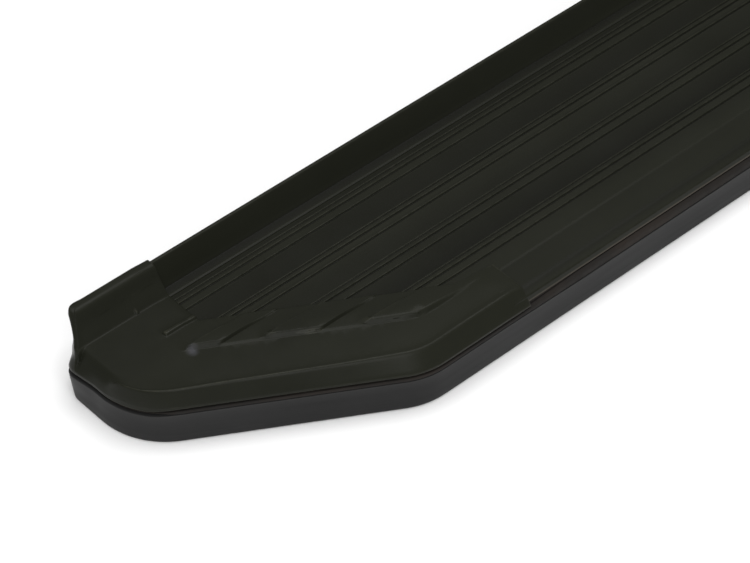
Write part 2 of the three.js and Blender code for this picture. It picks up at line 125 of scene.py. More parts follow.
# End cap
CAP_EDGE = 0.3
CAP_WALL = 2.2
WALL_END_X = -HALF + 74
CAP_END_X = -HALF + 237
WINDOW_SWEEP_Y = 34.9
WINDOW_FRONT_Y = -46.0
WINDOW_TAPER = 0.8
WINDOW = np.array([  # the cap's inner edge, from its front end to the vehicle side
    (CAP_END_X, FRONT_Y + CAP_EDGE), (CAP_END_X, WINDOW_FRONT_Y - 2),
    (WALL_END_X + (WINDOW_SWEEP_Y - WINDOW_FRONT_Y) / math.tan(SWEEP), WINDOW_FRONT_Y),
    (WALL_END_X, WINDOW_SWEEP_Y), (WALL_END_X, REAR_Y - CAP_EDGE),
])
PAD_HEIGHT = 2.9
PAD_SWEEP_Y = 50.0
PAD_BANDS = [(9.0, 21.5), (-22.0, -2.5), (-54.0, -33.5)]
PAD_SIDE = 0.45  # a pad's side slopes this much as wide as its outer end
PAD_HIGH_RADIUS, PAD_LOW_RADIUS = 4.2, 7.0
PAD_FADE_X = -HALF + 200
PAD_FADE = 0.7
PAD_TIP = (-796.0, 16.5)
RIB_START_X = -798.8
RIB_MIDDLE_Y, RIB_HALF_WIDTH = 38.5, 0.7
BUMP = (-800.5, 63.2)
WEDGE_RADIUS = 3.8  # of the upright's outer end, in plan
RIDGE_START_Y, RIDGE_BLEND = 36.0, 12.0
ROOF_RISE_Y, ROOF_RISE_RUN = 69.7, 8.0  # where the inner surface climbs the upright
REAR_CORNER_X = -HALF + 24


# ---- Plan outline


def unit(v):
    return v / np.linalg.norm(v)


def corner_facts():
    """(corner, arriving direction, leaving direction, inward normals, turn, radius) per corner."""
    points = [np.array(c[:2]) for c in CORNERS]
    chain = [np.array([0.0, REAR_Y]), *points, np.array([0.0, FRONT_Y])]
    facts = []
    for i, (point, (_, _, radius)) in enumerate(zip(points, CORNERS)):
        arriving = unit(point - chain[i])
        leaving = unit(chain[i + 2] - point)
        inward = np.array([-arriving[1], arriving[0]])
        onward = np.array([-leaving[1], leaving[0]])
        turn = math.acos(np.clip(inward @ onward, -1, 1))
        facts.append((point, arriving, leaving, inward, onward, turn, radius))
    return facts


FACTS = corner_facts()


def arc_points(fact, inset, steps, start=0.0):
    point, arriving, _, inward, onward, turn, full_radius = fact
    radius = max(full_radius - inset, 0.5)
    moved = (inward + onward) * inset / (1 + inward @ onward)
    centre = point + moved - arriving * radius * math.tan(turn / 2) + inward * radius
    points = []
    for k in range(steps + 1):
        angle = turn * (start + (1 - start) * k / steps)
        c, s = math.cos(angle), math.sin(angle)
        spoke = np.array([c * inward[0] - s * inward[1], s * inward[0] + c * inward[1]])
        points.append(centre - spoke * radius)
    return points


def left_path(inset, front_x, rear_x=None, rear_start=0.0, front_steps=12, rear_steps=14):
    """Outline of the left end moved inwards, from the vehicle side round to the front.

    It starts on the rear edge at rear_x, or part of the way round the first corner. Paths with
    the same arguments apart from inset have matching points.
    """
    arcs = [
        arc_points(fact, inset, steps, rear_start if i == 0 else 0.0)
        for i, (fact, steps) in enumerate(zip(FACTS, ARC_STEPS))
    ]
    points = []
    if rear_x is not None:
        first = np.array([rear_x, REAR_Y - inset])
        for k in range(rear_steps):
            points.append(first + (arcs[0][0] - first) * k / rear_steps)
    for i, arc in enumerate(arcs):
        points += arc
        last = i + 1 == len(arcs)
        after = np.array([front_x, FRONT_Y + inset]) if last else arcs[i + 1][0]
        steps = front_steps if last else EDGE_STEPS[i]
        for k in range(1, steps + (1 if last else 0)):
            points.append(arc[-1] + (after - arc[-1]) * k / steps)
    return np.array(points)


def ring_path(inset):
    """The whole way round from the rear of the left end to the rear of the right end."""
    left = left_path(inset, 0.0, rear_start=0.31)
    right = (left * [-1, 1])[::-1][1:]
    return np.vstack([left, right])


def inset_of(p):
    """Distance inwards from the left end's outline, for an array of plan points."""
    lines = []
    for point, arriving, _, inward, *_ in FACTS:
        lines.append((p - point) @ inward)
    point, onward = FACTS[-1][0], FACTS[-1][4]
    lines.append((p - point) @ onward)
    distance = np.min(lines, axis=0)
    for fact in FACTS:
        point, arriving, leaving, inward, onward, turn, radius = fact
        centre = point - arriving * radius * math.tan(turn / 2) + inward * radius
        away = p - centre
        sector = (away @ arriving > 0) & (away @ leaving < 0)
        distance = np.where(sector, radius - np.linalg.norm(away, axis=1), distance)
    return distance


def inward_of(p):
    """Unit direction away from the nearest edge of the outline."""
    step = 0.01
    dx = inset_of(p + [step, 0]) - inset_of(p - [step, 0])
    dy = inset_of(p + [0, step]) - inset_of(p - [0, step])
    d = np.stack([dx, dy], axis=1)
    return d / np.linalg.norm(d, axis=1, keepdims=True)


# ---- Curves


FILLET_STEP = math.radians(14)


def fillet(corners, closed=True):
    """Polyline with rounded corners from (u, v, radius) corners."""
    count = len(corners)
    points = []
    for i, (u, v, radius) in enumerate(corners):
        here = np.array([u, v])
        if radius <= 0 or (not closed and i in (0, count - 1)):
            points.append(here)
            continue
        before = np.array(corners[i - 1][:2])
        after = np.array(corners[(i + 1) % count][:2])
        back, on = unit(before - here), unit(after - here)
        angle = math.acos(np.clip(back @ on, -1, 1))
        if math.pi - angle < 0.02:
            points.append(here)
            continue
        room = min(np.linalg.norm(before - here), np.linalg.norm(after - here)) * 0.49
        reach = min(radius / math.tan(angle / 2), room)
        radius = reach * math.tan(angle / 2)
        centre = here + unit(back + on) * radius / math.sin(angle / 2)
        a, b = here + back * reach - centre, here + on * reach - centre
        turn = math.pi - angle
        steps = max(2, math.ceil(turn / FILLET_STEP))
        for k in range(steps + 1):
            t = k / steps
            w0 = math.sin((1 - t) * turn) / math.sin(turn)
            w1 = math.sin(t * turn) / math.sin(turn)
            points.append(centre + a * w0 + b * w1)
    return np.array(points)


def supported(points, margin=0.5):
    """Adds a point close to each end of every long straight run, so that edges shade crisply."""
    result = []
    for here, after in zip(points, np.roll(points, -1, axis=0)):
        result.append(here)
        length = np.linalg.norm(after - here)
        if length > 3 * margin:
            result.append(here + (after - here) * margin / length)
            result.append(after + (here - after) * margin / length)
    return np.array(result)


def smooth(t):
    t = np.clip(t, 0, 1)
    return t * t * (3 - 2 * t)


def curve_through(knots):
    """Monotone cubic through (u, value) knots, as a function."""
    u = np.array([k[0] for k in knots], float)
    v = np.array([k[1] for k in knots], float)
    h = np.diff(u)
    slope = np.diff(v) / h
    m = np.zeros(len(u))
    m[0], m[-1] = slope[0], slope[-1]
    for i in range(1, len(u) - 1):
        if slope[i - 1] * slope[i] > 0:
            w1, w2 = 2 * h[i] + h[i - 1], h[i] + 2 * h[i - 1]
            m[i] = (w1 + w2) / (w1 / slope[i - 1] + w2 / slope[i])

    def at(x):
        x = np.clip(x, u[0], u[-1])
        i = np.clip(np.searchsorted(u, x) - 1, 0, len(h) - 1)
        t = (x - u[i]) / h[i]
        return (
            v[i] * (1 + 2 * t) * (1 - t) ** 2
            + m[i] * h[i] * t * (1 - t) ** 2
            + v[i + 1] * t * t * (3 - 2 * t)
            + m[i + 1] * h[i] * t * t * (t - 1)
        )

    return at


# ---- Meshes

SHARP = math.radians(38)


def in_scene(name, data):
    item = bpy.data.objects.new(name, data)
    bpy.context.scene.collection.objects.link(item)
    return item


def solid(name, verts, faces):
    """Closed mesh from points in millimetres, with doubles merged and faces turned outwards."""
    mesh = bpy.data.meshes.new(name)
    mesh.from_pydata([tuple(v) for v in np.asarray(verts, float) * MM], [], faces)
    mesh.validate()
    bm = bmesh.new()
    bm.from_mesh(mesh)
    bmesh.ops.remove_doubles(bm, verts=bm.verts, dist=1e-6)
    bmesh.ops.recalc_face_normals(bm, faces=bm.faces)
    if bm.calc_volume(signed=True) < 0:
        bmesh.ops.reverse_faces(bm, faces=bm.faces)
    bm.to_mesh(mesh)
    bm.free()
    return in_scene(name, mesh)


def join(piece, other):
    """Fuses another piece into this one."""
    modifier = piece.modifiers.new("join", "BOOLEAN")
    modifier.operation = "UNION"
    modifier.solver = "EXACT"
    modifier.object = other
    graph = bpy.context.evaluated_depsgraph_get()
    mesh = bpy.data.meshes.new_from_object(piece.evaluated_get(graph))
    piece.modifiers.clear()
    piece.data = mesh
    bpy.data.objects.remove(other)


def mark_edges(piece):
    """Stores how sharply the surface turns at each vertex: above 0 outwards, below 0 inwards."""
    bm = bmesh.new()
    bm.from_mesh(piece.data)
    bm.normal_update()
    turn = np.zeros(len(bm.verts))
    area = np.full(len(bm.verts), 1e-12)
    for face in bm.faces:
        share = face.calc_area() / len(face.verts)
        for v in face.verts:
            area[v.index] += share
    for edge in bm.edges:
        if len(edge.link_faces) != 2:
            continue
        amount = edge.calc_face_angle_signed(0.0) * edge.calc_length() / 2
        for v in edge.verts:
            turn[v.index] += amount
    curvature = turn / area * MM
    ends = np.array([[v.index for v in edge.verts] for edge in bm.edges])
    bm.free()
    for _ in range(4):
        total, weight = curvature.copy(), np.ones(len(curvature))
        for a, b in (ends.T, ends.T[::-1]):
            np.add.at(total, a, curvature[b])
            np.add.at(weight, a, 1)
        curvature = total / weight
    attribute = piece.data.attributes.new("edge", "FLOAT", "POINT")
    attribute.data.foreach_set("value", np.clip(curvature, -1, 1).astype(np.float32))


def place_piece(piece, body, slot, *nodes):
    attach(piece, body)
    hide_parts(*nodes)


def finish_piece(piece, material, body, slot, *nodes):
    """Shading, edge marks, finish, and the CAD body that the piece rides on."""
    piece.data.shade_smooth()
    piece.data.set_sharp_from_angle(angle=SHARP)
    mark_edges(piece)
    piece.data.materials.clear()
    piece.data.materials.append(material)
    place_piece(piece, body, slot, *nodes)
    return piece


def loft(name, rows, closed_rows=False):
    """Closed surface through rows of points. Open lofts are closed by their first and last row."""
    rows = np.asarray(rows, float)
    total, count = rows.shape[:2]
    faces = []
    for here in range(total if closed_rows else total - 1):
        after = (here + 1) % total
        for i in range(count):
            j = (i + 1) % count
            faces.append((here * count + i, here * count + j, after * count + j, after * count + i))
    if not closed_rows:
        faces.append(tuple(range(count))[::-1])
        faces.append(tuple(range((total - 1) * count, total * count)))
    return solid(name, rows.reshape(-1, 3), faces)


def turned(name, levels, x=0.0, y=0.0, closed_rows=False, steps=32):
    """Loft round an upright axis: levels are (z, radius), and a radius may vary by angle."""
    angles = np.arange(steps) * 2 * math.pi / steps
    rows = []
    for z, radius in levels:
        r = radius(angles) if callable(radius) else np.full(steps, float(radius))
        rows.append(np.stack([x + r * np.cos(angles), y + r * np.sin(angles),
                              np.full(steps, float(z))], axis=1))
    return loft(name, rows, closed_rows)


def swept_round(name, profiles, weights):
    """Sweeps closed (inset, z) profiles round both ends and the front of the board.

    Profiles have matching points, and weights(plan points) blends between them.
    """
    middle = ring_path(0.5)
    rows = np.zeros((len(middle), len(profiles[0]), 3))
    for profile, part in zip(profiles, weights(middle)):
        paths = np.stack([ring_path(inset) for inset, _ in profile], axis=1)
        rows[:, :, :2] += paths * part[:, None, None]
        rows[:, :, 2] += np.array([z for _, z in profile]) * part[:, None]
    return loft(name, flare(rows.reshape(-1, 3)).reshape(rows.shape))


def triangulate(loops, lines=(), points=()):
    """Triangles inside the outer loop and outside the others, held to lines and points."""
    verts, edges, faces = [], [], []
    for loop in loops:
        start = len(verts)
        verts += [Vector(p) for p in loop]
        faces.append(list(range(start, start + len(loop))))
    for line in lines:
        start = len(verts)
        verts += [Vector(p) for p in line]
        edges += [(start + i, start + i + 1) for i in range(len(line) - 1)]
    verts += [Vector(p) for p in points]
    out = delaunay_2d_cdt(verts, edges, faces, 0, 1e-5, True)
    kept = [tuple(t) for t, inside in zip(out[2], out[5]) if set(inside) == {0}]
    used = sorted({i for t in kept for i in t})
    number = {old: new for new, old in enumerate(used)}
    plan = np.array([tuple(out[0][i]) for i in used])
    return plan, [tuple(number[i] for i in t) for t in kept]


def plate(name, plan, low, high, edge=0.5):
    """Flat plate over a plan loop, with softened edges."""
    plan = np.asarray(plan, float)
    tangent = np.roll(plan, -1, axis=0) - np.roll(plan, 1, axis=0)
    tangent /= np.linalg.norm(tangent, axis=1, keepdims=True)
    inward = np.stack([-tangent[:, 1], tangent[:, 0]], axis=1)
    area = np.sum(plan[:, 0] * np.roll(plan[:, 1], -1) - np.roll(plan[:, 0], -1) * plan[:, 1])
    inward *= 1 if area > 0 else -1
    rows = []
    for offset, z in ((edge, low), (edge * 0.3, low + edge * 0.3), (0, low + edge),
                      (0, high - edge), (edge * 0.3, high - edge * 0.3), (edge, high)):
        ring = plan + inward * offset
        rows.append(np.column_stack([ring, np.full(len(ring), z)]))
    return loft(name, rows)


def mirrored(piece, name, slot, node):
    """The right end's copy of a left piece."""
    mesh = piece.data.copy()
    bm = bmesh.new()
    bm.from_mesh(mesh)
    for v in bm.verts:
        v.co.x = -v.co.x
    bmesh.ops.reverse_faces(bm, faces=bm.faces)
    bm.to_mesh(mesh)
    bm.free()
    place_piece(in_scene(name, mesh), "board", slot, node)


# ---- Materials


class Nodes:
    """A material's node tree with short ways to add what these finishes share."""

    def __init__(self, name):
        self.material = bpy.data.materials.new(name)
        self.material.use_nodes = True
        self.tree = self.material.node_tree
        self.shader = self.tree.nodes["Principled BSDF"]
        self.place = self.node("TexCoord", "Object")

    def node(self, kind, output, inputs=(), **settings):
        """Adds a node, feeds its inputs with (name, value) pairs, and returns an output."""
        node = self.tree.nodes.new("ShaderNode" + kind)
        for key, value in settings.items():
            setattr(node, key, value)
        for key, value in inputs:
            self.link(value, node.inputs[key])
        return node.outputs[output]

    def link(self, value, socket):
        if isinstance(value, bpy.types.NodeSocket):
            self.tree.links.new(value, socket)
        else:
            socket.default_value = value

    def noise(self, scale, detail=3.0, roughness=0.5, stretch=(1, 1, 1)):
        place = self.node("Mapping", "Vector", [("Vector", self.place), ("Scale", stretch)])
        return self.node("TexNoise", "Fac", [
            ("Vector", place), ("Scale", scale), ("Detail", detail), ("Roughness", roughness)])

    def cells(self, scale):
        return self.node("TexVoronoi", "Distance", [("Vector", self.place), ("Scale", scale)])

    def math(self, operation, a, b):
        return self.node("Math", 0, [(0, a), (1, b)], operation=operation)

    def ranged(self, value, low, high, new_low=0.0, new_high=1.0):
        return self.node("MapRange", "Result", [
            ("Value", value), ("From Min", low), ("From Max", high),
            ("To Min", new_low), ("To Max", new_high)])

    def distance(self, place_mm):
        """Distance from a place on the object."""
        place = [c * MM for c in place_mm]
        return self.node("VectorMath", "Value", [(0, self.place), (1, place)], operation="DISTANCE")

    def along(self, axis):
        return self.node("SeparateXYZ", axis, [(0, self.place)])

    def edge(self):
        """What mark_edges stored."""
        return self.node("Attribute", "Fac", attribute_name="edge")

    def mix(self, factor, a, b):
        return self.node("Mix", "Result", [("Factor", factor), ("A", a), ("B", b)], data_type="RGBA")

    def tint(self, base, mask, amount, colour):
        """base with colour laid over it where mask says, up to amount."""
        return self.mix(self.math("MULTIPLY", mask, amount), base, colour)

    def bump(self, height, strength, distance, under=None):
        """A bump, on top of another one's normal if under is given."""
        inputs = [("Height", height), ("Strength", strength), ("Distance", distance)]
        return self.node("Bump", "Normal", inputs + ([] if under is None else [("Normal", under)]))

    def finish(self, colour, roughness, normal, specular=0.5, metallic=0.0):
        inputs = self.shader.inputs
        self.link(colour, inputs["Base Color"])
        self.link(roughness, inputs["Roughness"])
        self.link(normal, inputs["Normal"])
        inputs["Specular IOR Level"].default_value = specular
        inputs["Metallic"].default_value = metallic
        return self.material


def tone(*levels):
    """Linear colour from 0-255 display values: red, green and blue, or one grey."""
    shares = [level / 255 for level in (levels if len(levels) == 3 else levels * 3)]
    return (*(c / 12.92 if c <= 0.04045 else ((c + 0.055) / 1.055) ** 2.4 for c in shares), 1.0)


def powder_coat():
    """Black textured powder coat on aluminium: fine pebbling, painted shade in the grooves, rubbed
    edges partly painted highlight, a painted highlight along the nose.
    """
    n = Nodes("black_powder_coat")
    edge_wear_and_highlight = n.ranged(n.edge(), 0.2, 1.0)
    crease_shade = n.ranged(n.edge(), -0.1, -0.8)
    patches = n.ranged(n.noise(9, 4), 0.35, 0.68)
    streaks = n.ranged(n.noise(60, 3, stretch=(0.05, 1, 1)), 0.35, 0.7)
    base = n.mix(patches, tone(27, 28, 21), tone(31, 32, 25))
    base = n.tint(base, streaks, 0.35, tone(22, 23, 18))
    # painted shade: concave creases and groove bottoms are darkened
    base = n.tint(base, crease_shade, 0.75, tone(8, 8, 6))
    # convex edges lightened: partly real rubbing, partly a painted highlight where edges catch the
    # light
    rubbed_and_highlight = n.math("MULTIPLY", edge_wear_and_highlight, n.ranged(n.noise(220, 4), 0.38, 0.62))
    base = n.tint(base, rubbed_and_highlight, 0.25, tone(58, 57, 49))
    # painted highlight: a lighter warm band along the nose's lower edge, where the edge catches the
    # light
    nose = n.math("MULTIPLY", n.ranged(n.along("Y"), *(y * MM for y in NOSE_HIGHLIGHT_Y)),
                  n.ranged(n.along("Z"), *(z * MM for z in NOSE_HIGHLIGHT_Z)))
    patchy = n.ranged(n.noise(70, 4, stretch=(0.2, 1, 1)), 0.3, 0.6, 0.6)
    base = n.tint(base, nose, patchy, tone(64, 60, 52))
    rough = n.ranged(n.noise(35, 4), 0.3, 0.7, 0.32, 0.42)
    rough = n.math("SUBTRACT", rough, n.math("MULTIPLY", edge_wear_and_highlight, 0.1))
    pebbles = n.bump(n.noise(1500, 2), 0.15, 0.00008)
    return n.finish(base, rough, n.bump(n.noise(420, 2), 0.1, 0.00012, pebbles), 0.09)


def moulded_plastic(name, dark, light, low_rough, high_rough, specular, highlight_spot=None):
    """Moulded matte plastic with a fine leather grain, faint flow marks, painted shade in its creases
    and rubbed edges partly painted highlight.

    The optional place, in millimetres, gets a painted highlight spot.
    """
    n = Nodes(name)
    edge_wear_and_highlight = n.ranged(n.edge(), 0.35, 1.1)
    crease_shade = n.ranged(n.edge(), -0.1, -0.8)
    flow = n.ranged(n.noise(14, 5, stretch=(0.5, 1, 1)), 0.32, 0.7)
    base = n.mix(flow, dark, light)
    # painted shade: concave creases are darkened
    base = n.tint(base, crease_shade, 0.1, tone(14, 14, 11))
    # convex edges lightened: partly real rubbing, partly a painted highlight where edges catch the
    # light
    rubbed_and_highlight = n.math("MULTIPLY", edge_wear_and_highlight, n.ranged(n.noise(160, 4), 0.3, 0.65))
    base = n.tint(base, rubbed_and_highlight, 0.35, tone(66, 66, 55))
    # painted highlight: a small lighter spot where the first pad's rounded tip catches the light
    if highlight_spot is not None:
        tip_highlight = n.ranged(n.distance(highlight_spot), 1.2 * MM, 5.0 * MM, 0.6, 0)
        base = n.tint(base, tip_highlight, n.ranged(n.noise(240, 3), 0.3, 0.6, 0.4), tone(74, 74, 80))
    rough = n.ranged(n.noise(48, 4), 0.3, 0.7, low_rough, high_rough)
    rough = n.math("SUBTRACT", rough, n.math("MULTIPLY", edge_wear_and_highlight, 0.1))
    grain = n.bump(n.cells(1100), 0.25, 0.00007)
    return n.finish(base, rough, n.bump(n.noise(300, 3), 0.18, 0.0001, grain), specular)


def satin_trim():
    """Satin grey-black trim with a faint lengthwise drawn texture, scattered scuffs and edges
    lightened partly as painted highlight.
    """
    n = Nodes("satin_trim")
    edge_wear_and_highlight = n.ranged(n.edge(), 0.08, 0.8)
    drawn = n.noise(260, 3, stretch=(0.04, 0.04, 1))
    base = n.mix(n.ranged(n.noise(11, 4), 0.35, 0.65), tone(36), tone(41))
    base = n.mix(n.ranged(drawn, 0.5, 0.8, 0, 0.25), base, tone(33))
    scuffs = n.ranged(n.noise(90, 6, 0.6, (0.25, 0.25, 1)), 0.6, 0.75)
    base = n.tint(base, scuffs, 0.15, tone(60))
    # convex edges lightened: partly real wear, partly a painted highlight where edges catch the light
    base = n.tint(base, edge_wear_and_highlight, 0.25, tone(70, 70, 69))
    fine = n.bump(n.noise(1200, 2), 0.2, 0.0001)
    rough = n.ranged(drawn, 0.3, 0.7, 0.38, 0.48)
    return n.finish(base, rough, n.bump(drawn, 0.12, 0.0001, fine), 0.1)


def seal_rubber():
    """Black rubber with pores, a bloom of reddish-brown dust and painted shade in its creases."""
    n = Nodes("seal_rubber")
    dust = n.ranged(n.noise(26, 5), 0.4, 0.7)
    base = n.mix(dust, tone(31, 29, 27), tone(40, 35, 31))
    # painted shade: concave creases are darkened
    base = n.mix(n.ranged(n.edge(), -0.1, -0.8, 0, 0.7), base, tone(10, 9, 8))
    rough = n.ranged(n.noise(120, 3), 0.3, 0.7, 0.6, 0.75)
    return n.finish(base, rough, n.bump(n.cells(1700), 0.4, 0.00012), 0.12)


def zinc_plate():
    """Zinc-plated steel: bright, slightly mottled, with painted shade darkening the threads."""
    n = Nodes("zinc_plate")
    mottle = n.ranged(n.noise(420, 5), 0.35, 0.7)
    base = n.mix(mottle, tone(150, 152, 156), tone(196, 197, 196))
    # painted shade: the hollows of the threads and recesses are darkened
    base = n.mix(n.ranged(n.edge(), -0.1, -0.9, 0, 0.8), base, tone(84, 82, 78))
    base = n.mix(n.ranged(n.noise(60, 5), 0.62, 0.8, 0, 0.5), base, tone(150, 132, 96))
    rough = n.ranged(n.noise(700, 4), 0.3, 0.7, 0.24, 0.44)
    return n.finish(base, rough, n.bump(n.noise(1800, 3), 0.2, 0.00006), metallic=1.0)


# ---- Deck


def flange_y(z):
    return FLANGE_FOOT_Y + FLANGE_LEAN * (max(z - TREAD_Z, 0) / (FLANGE_TOP_Z - TREAD_Z)) ** 0.9


def groove(y, width, depth):
    """Corners of one tread groove, walked from the vehicle side to the front."""
    half = width / 2
    return [
        (y + half, TREAD_Z, 0.35), (y + half * 0.45, TREAD_Z - depth, 0.4),
        (y - half * 0.45, TREAD_Z - depth, 0.4), (y - half, TREAD_Z, 0.35),
    ]


def tread_corners():
    corners = [(65.2, TREAD_Z + 0.02, 1.2), (64.2, TREAD_Z, 0.8), (63.0, TREAD_Z - 0.45, 1.0),
               (61.8, TREAD_Z, 0.8)]
    for i, y in enumerate(GROOVE_PAIRS):
        fine = 0.45 if i > 1 else 0.65
        corners += groove(y + FINE_GROOVE_OFFSET, 1.4, fine)
        corners += groove(y + GROOVE_SPACING / 2, 1.9, 0.95)
        corners += groove(y - GROOVE_SPACING / 2, 1.9, 0.95)
    corners += [(-53.2, TREAD_Z, 0.6), (-54.4, TREAD_Z - 0.5, 0.6)]
    return corners


def channel_corners(y):
    """The channel that holds the T-bolts, open downwards, walked from the front."""
    half = [(CHANNEL_MOUTH, DECK_BOTTOM_Z, 0.4), (CHANNEL_MOUTH, CHANNEL_LIP_Z, 0.4),
            (CHANNEL_SIDE, CHANNEL_LIP_Z, 0.6), (CHANNEL_SIDE, CHANNEL_ROOF_Z, 0.8)]
    front = [(y - across, z, radius) for across, z, radius in half]
    return front + [(y + across, z, radius) for across, z, radius in half[::-1]]


def deck_outer_loop():
    top = FLANGE_TOP_Z
    rear = [(DECK_REAR_Y, DECK_BOTTOM_Z, 0.8), (DECK_REAR_Y, TREAD_Z - 1, 1.0)]
    rear += [(flange_y(z) + FLANGE_WALL, z, 0) for z in (41, 44, 47, 50, 53)]
    crown = [(flange_y(top) + FLANGE_WALL, top, 1.1), (flange_y(top), top, 1.1)]
    face = [(flange_y(z), z, 0) for z in (53, 51, 49, 47, 45, 43, 41, 39.6)]
    foot = [(FLANGE_FOOT_Y + 0.1, TREAD_Z + 0.35, 0.5)]
    nose = [(-73.6, TREAD_Z - 0.5, 6.0), (-79.2, TREAD_Z - 3.3, 1.3),
            (-79.9, NOSE_LOW_Z, 0.35)]
    under = [(DECK_WEB_Y, NOSE_LOW_Z + 0.3, 0.8), (DECK_WEB_Y, DECK_BOTTOM_Z, 1.0)]
    for y in CHANNEL_YS[::-1]:
        under += channel_corners(y)
    return rear + crown + face + foot + tread_corners() + nose + under


def deck_chambers():
    """Hollow chambers as (low y, high y, low z, high z)."""
    low, high = DECK_BOTTOM_Z + DECK_WALL, TREAD_Z - DECK_TOP_WALL
    roof = CHANNEL_ROOF_Z + DECK_WALL
    side = CHANNEL_SIDE + DECK_WALL
    rear, front = CHANNEL_YS
    return [
        (DECK_WEB_Y + DECK_WALL, front - side, low, high),
        (front - side + DECK_WALL, front + side - DECK_WALL, roof, high),
        (front + side, -DECK_WALL / 2, low, high),
        (DECK_WALL / 2, rear - side, low, high),
        (rear - side + DECK_WALL, rear + side - DECK_WALL, roof, high),
        (rear + side, DECK_REAR_Y - DECK_WALL - 3.4, low, high),
    ]


def deck_end_x(y):
    """Where the deck's left end is cut: along the outline, with the nose cut back further."""
    sloped = lambda at: -HALF + DECK_END_INSET + np.maximum(END_KINK_Y - at, 0) / math.tan(SWEEP)
    high, low = NOSE_KINKS
    share = np.clip((high - y) / (high - low), 0, 1)
    return sloped(np.maximum(y, high)) * (1 - share) + NOSE_END_X * share


def with_kinks(loop):
    """Adds points where a section loop crosses the bends of the deck's cut end."""
    for kink in (END_KINK_Y, *NOSE_KINKS):
        result = []
        for here, after in zip(loop, np.roll(loop, -1, axis=0)):
            result.append(here)
            if (here[0] - kink) * (after[0] - kink) < 0:
                t = (kink - here[0]) / (after[0] - here[0])
                result.append(here + (after - here) * t)
        loop = np.array(result)
    return loop


def build_deck(material):
    loops = [with_kinks(supported(fillet(deck_outer_loop())))]
    for y0, y1, z0, z1 in deck_chambers():
        corners = [(y0, z0, 1.0), (y1, z0, 1.0), (y1, z1, 1.0), (y0, z1, 1.0)]
        loops.append(with_kinks(fillet(corners)))
    verts, faces = [], []
    for loop in loops:
        start, count = len(verts), len(loop)
        ends = deck_end_x(loop[:, 0])
        verts += [(x, y, z) for x, (y, z) in zip(ends, loop)]
        verts += [(-x, y, z) for x, (y, z) in zip(ends, loop)]
        for i in range(count):
            j = (i + 1) % count
            faces.append((start + i, start + j, start + count + j, start + count + i))
    bends = [[(y, DECK_BOTTOM_Z - 1), (y, FLANGE_TOP_Z)] for y in (END_KINK_Y, *NOSE_KINKS)]
    plan, triangles = triangulate(loops, bends)
    for side in (1, -1):
        start = len(verts)
        verts += [(side * deck_end_x(y), y, z) for y, z in plan]
        faces += [tuple(start + i for i in t) for t in triangles]
    piece = solid("deck_board", verts, faces)
    return finish_piece(piece, material, "board", "deck", "deck_extrusion")


# ---- End caps

RIM_STEEP = curve_through([
    (0.3, 30.2), (0.45, 31.2), (0.8, 32.6), (1.4, 34.1), (2.2, 35.6), (3.1, 36.8),
    (4.2, 37.9), (5.4, 38.7), (6.8, 39.2), (8.4, 39.45), (10.5, 39.5), (400, 39.5),
])
RIM_PLAIN = curve_through([
    (0.3, 29.0), (0.7, 29.8), (1.4, 30.9), (2.6, 32.7), (3.8, 34.5), (5.2, 36.4), (6.3, 37.6),
    (7.4, 38.5), (8.6, 39.1), (10.3, 39.42), (12.4, 39.5), (400, 39.5),
])
RIM_RIDGED = curve_through([
    (0.3, 28.9), (0.7, 29.6), (1.4, 30.7), (2.6, 32.35), (4.0, 34.25), (5.6, 36.4), (6.8, 38.0),
    (7.4, 38.75), (8.0, 39.32), (8.6, 39.72), (9.1, 39.95), (9.7, 40.05), (10.3, 39.98),
    (11.2, 39.78), (12.4, 39.57), (13.4, 39.5), (400, 39.5),
])
ridge_scale = curve_through([
    (-851, 0.31), (-841, 0.34), (-834, 0.43), (-829, 0.5), (-815, 0.555), (-793, 0.635),
    (-775, 0.67), (-759, 0.715), (-739, 0.76), (-717, 0.86), (-701, 0.95), (-680, 0.98),
    (-655, 1.0), (0, 1.0),
])
UPRIGHT = curve_through([
    (-200, 20.0), (56.5, 20.5), (60.0, 33.0), (61.2, 38.1), (61.8, 39.1), (62.3, 39.52),
    (62.7, 39.75), (63.2, 40.1), (63.8, 40.7), (65.5, 42.45), (67.5, 44.55), (69.3, 46.6),
    (70.8, 48.6), (72.2, 50.9), (73.5, 53.3), (74.6, 55.0), (75.6, 55.85),
    (76.8, CAP_TOP_Z - 0.1), (78, CAP_TOP_Z), (99, CAP_TOP_Z),
])
ROOF_RIM = curve_through([
    (2.0, 29.4), (2.5, 30.1), (3.3, 31.2), (4.6, 33.0), (6.0, 34.9), (7.6, CAP_ROOF_Z - 0.3),
    (8.4, CAP_ROOF_Z), (400, CAP_ROOF_Z),
])
RIM_INSETS = [0.42, 0.6, 0.85, 1.2, 1.6, 2.1, 2.6, 3.2, 3.8, 4.5, 5.2, 5.8, 6.3, 6.8,
              7.05, 7.4, 7.7, 8.0, 8.3, 8.6, 8.85, 9.1, 9.4, 9.7, 10.0, 10.3, 10.75, 11.2, 11.8,
              12.4, 13.4]
UPRIGHT_YS = [57, 58.5, 60, 60.7, 61.3, 61.7, 62.0, 62.3, 62.6, 62.9, 63.2, 63.5, 63.9, 64.5,
              65.5, 66.5, 67.5, 68.4, 69.3, 70.1, 70.8, 71.5, 72.2, 72.9, 73.5, 74.1, 74.6, 75.1,
              75.6, 76.2, 76.8, 77.6, 79, 80.5]


def window_distance(p):
    """Distance from the cap's inner edge."""
    nearest = np.full(len(p), 1e9)
    for a, b in zip(WINDOW, WINDOW[1:]):
        along = np.clip(((p - a) @ (b - a)) / ((b - a) @ (b - a)), 0, 1)
        nearest = np.minimum(nearest, np.linalg.norm(p - a - along[:, None] * (b - a), axis=1))
    return nearest


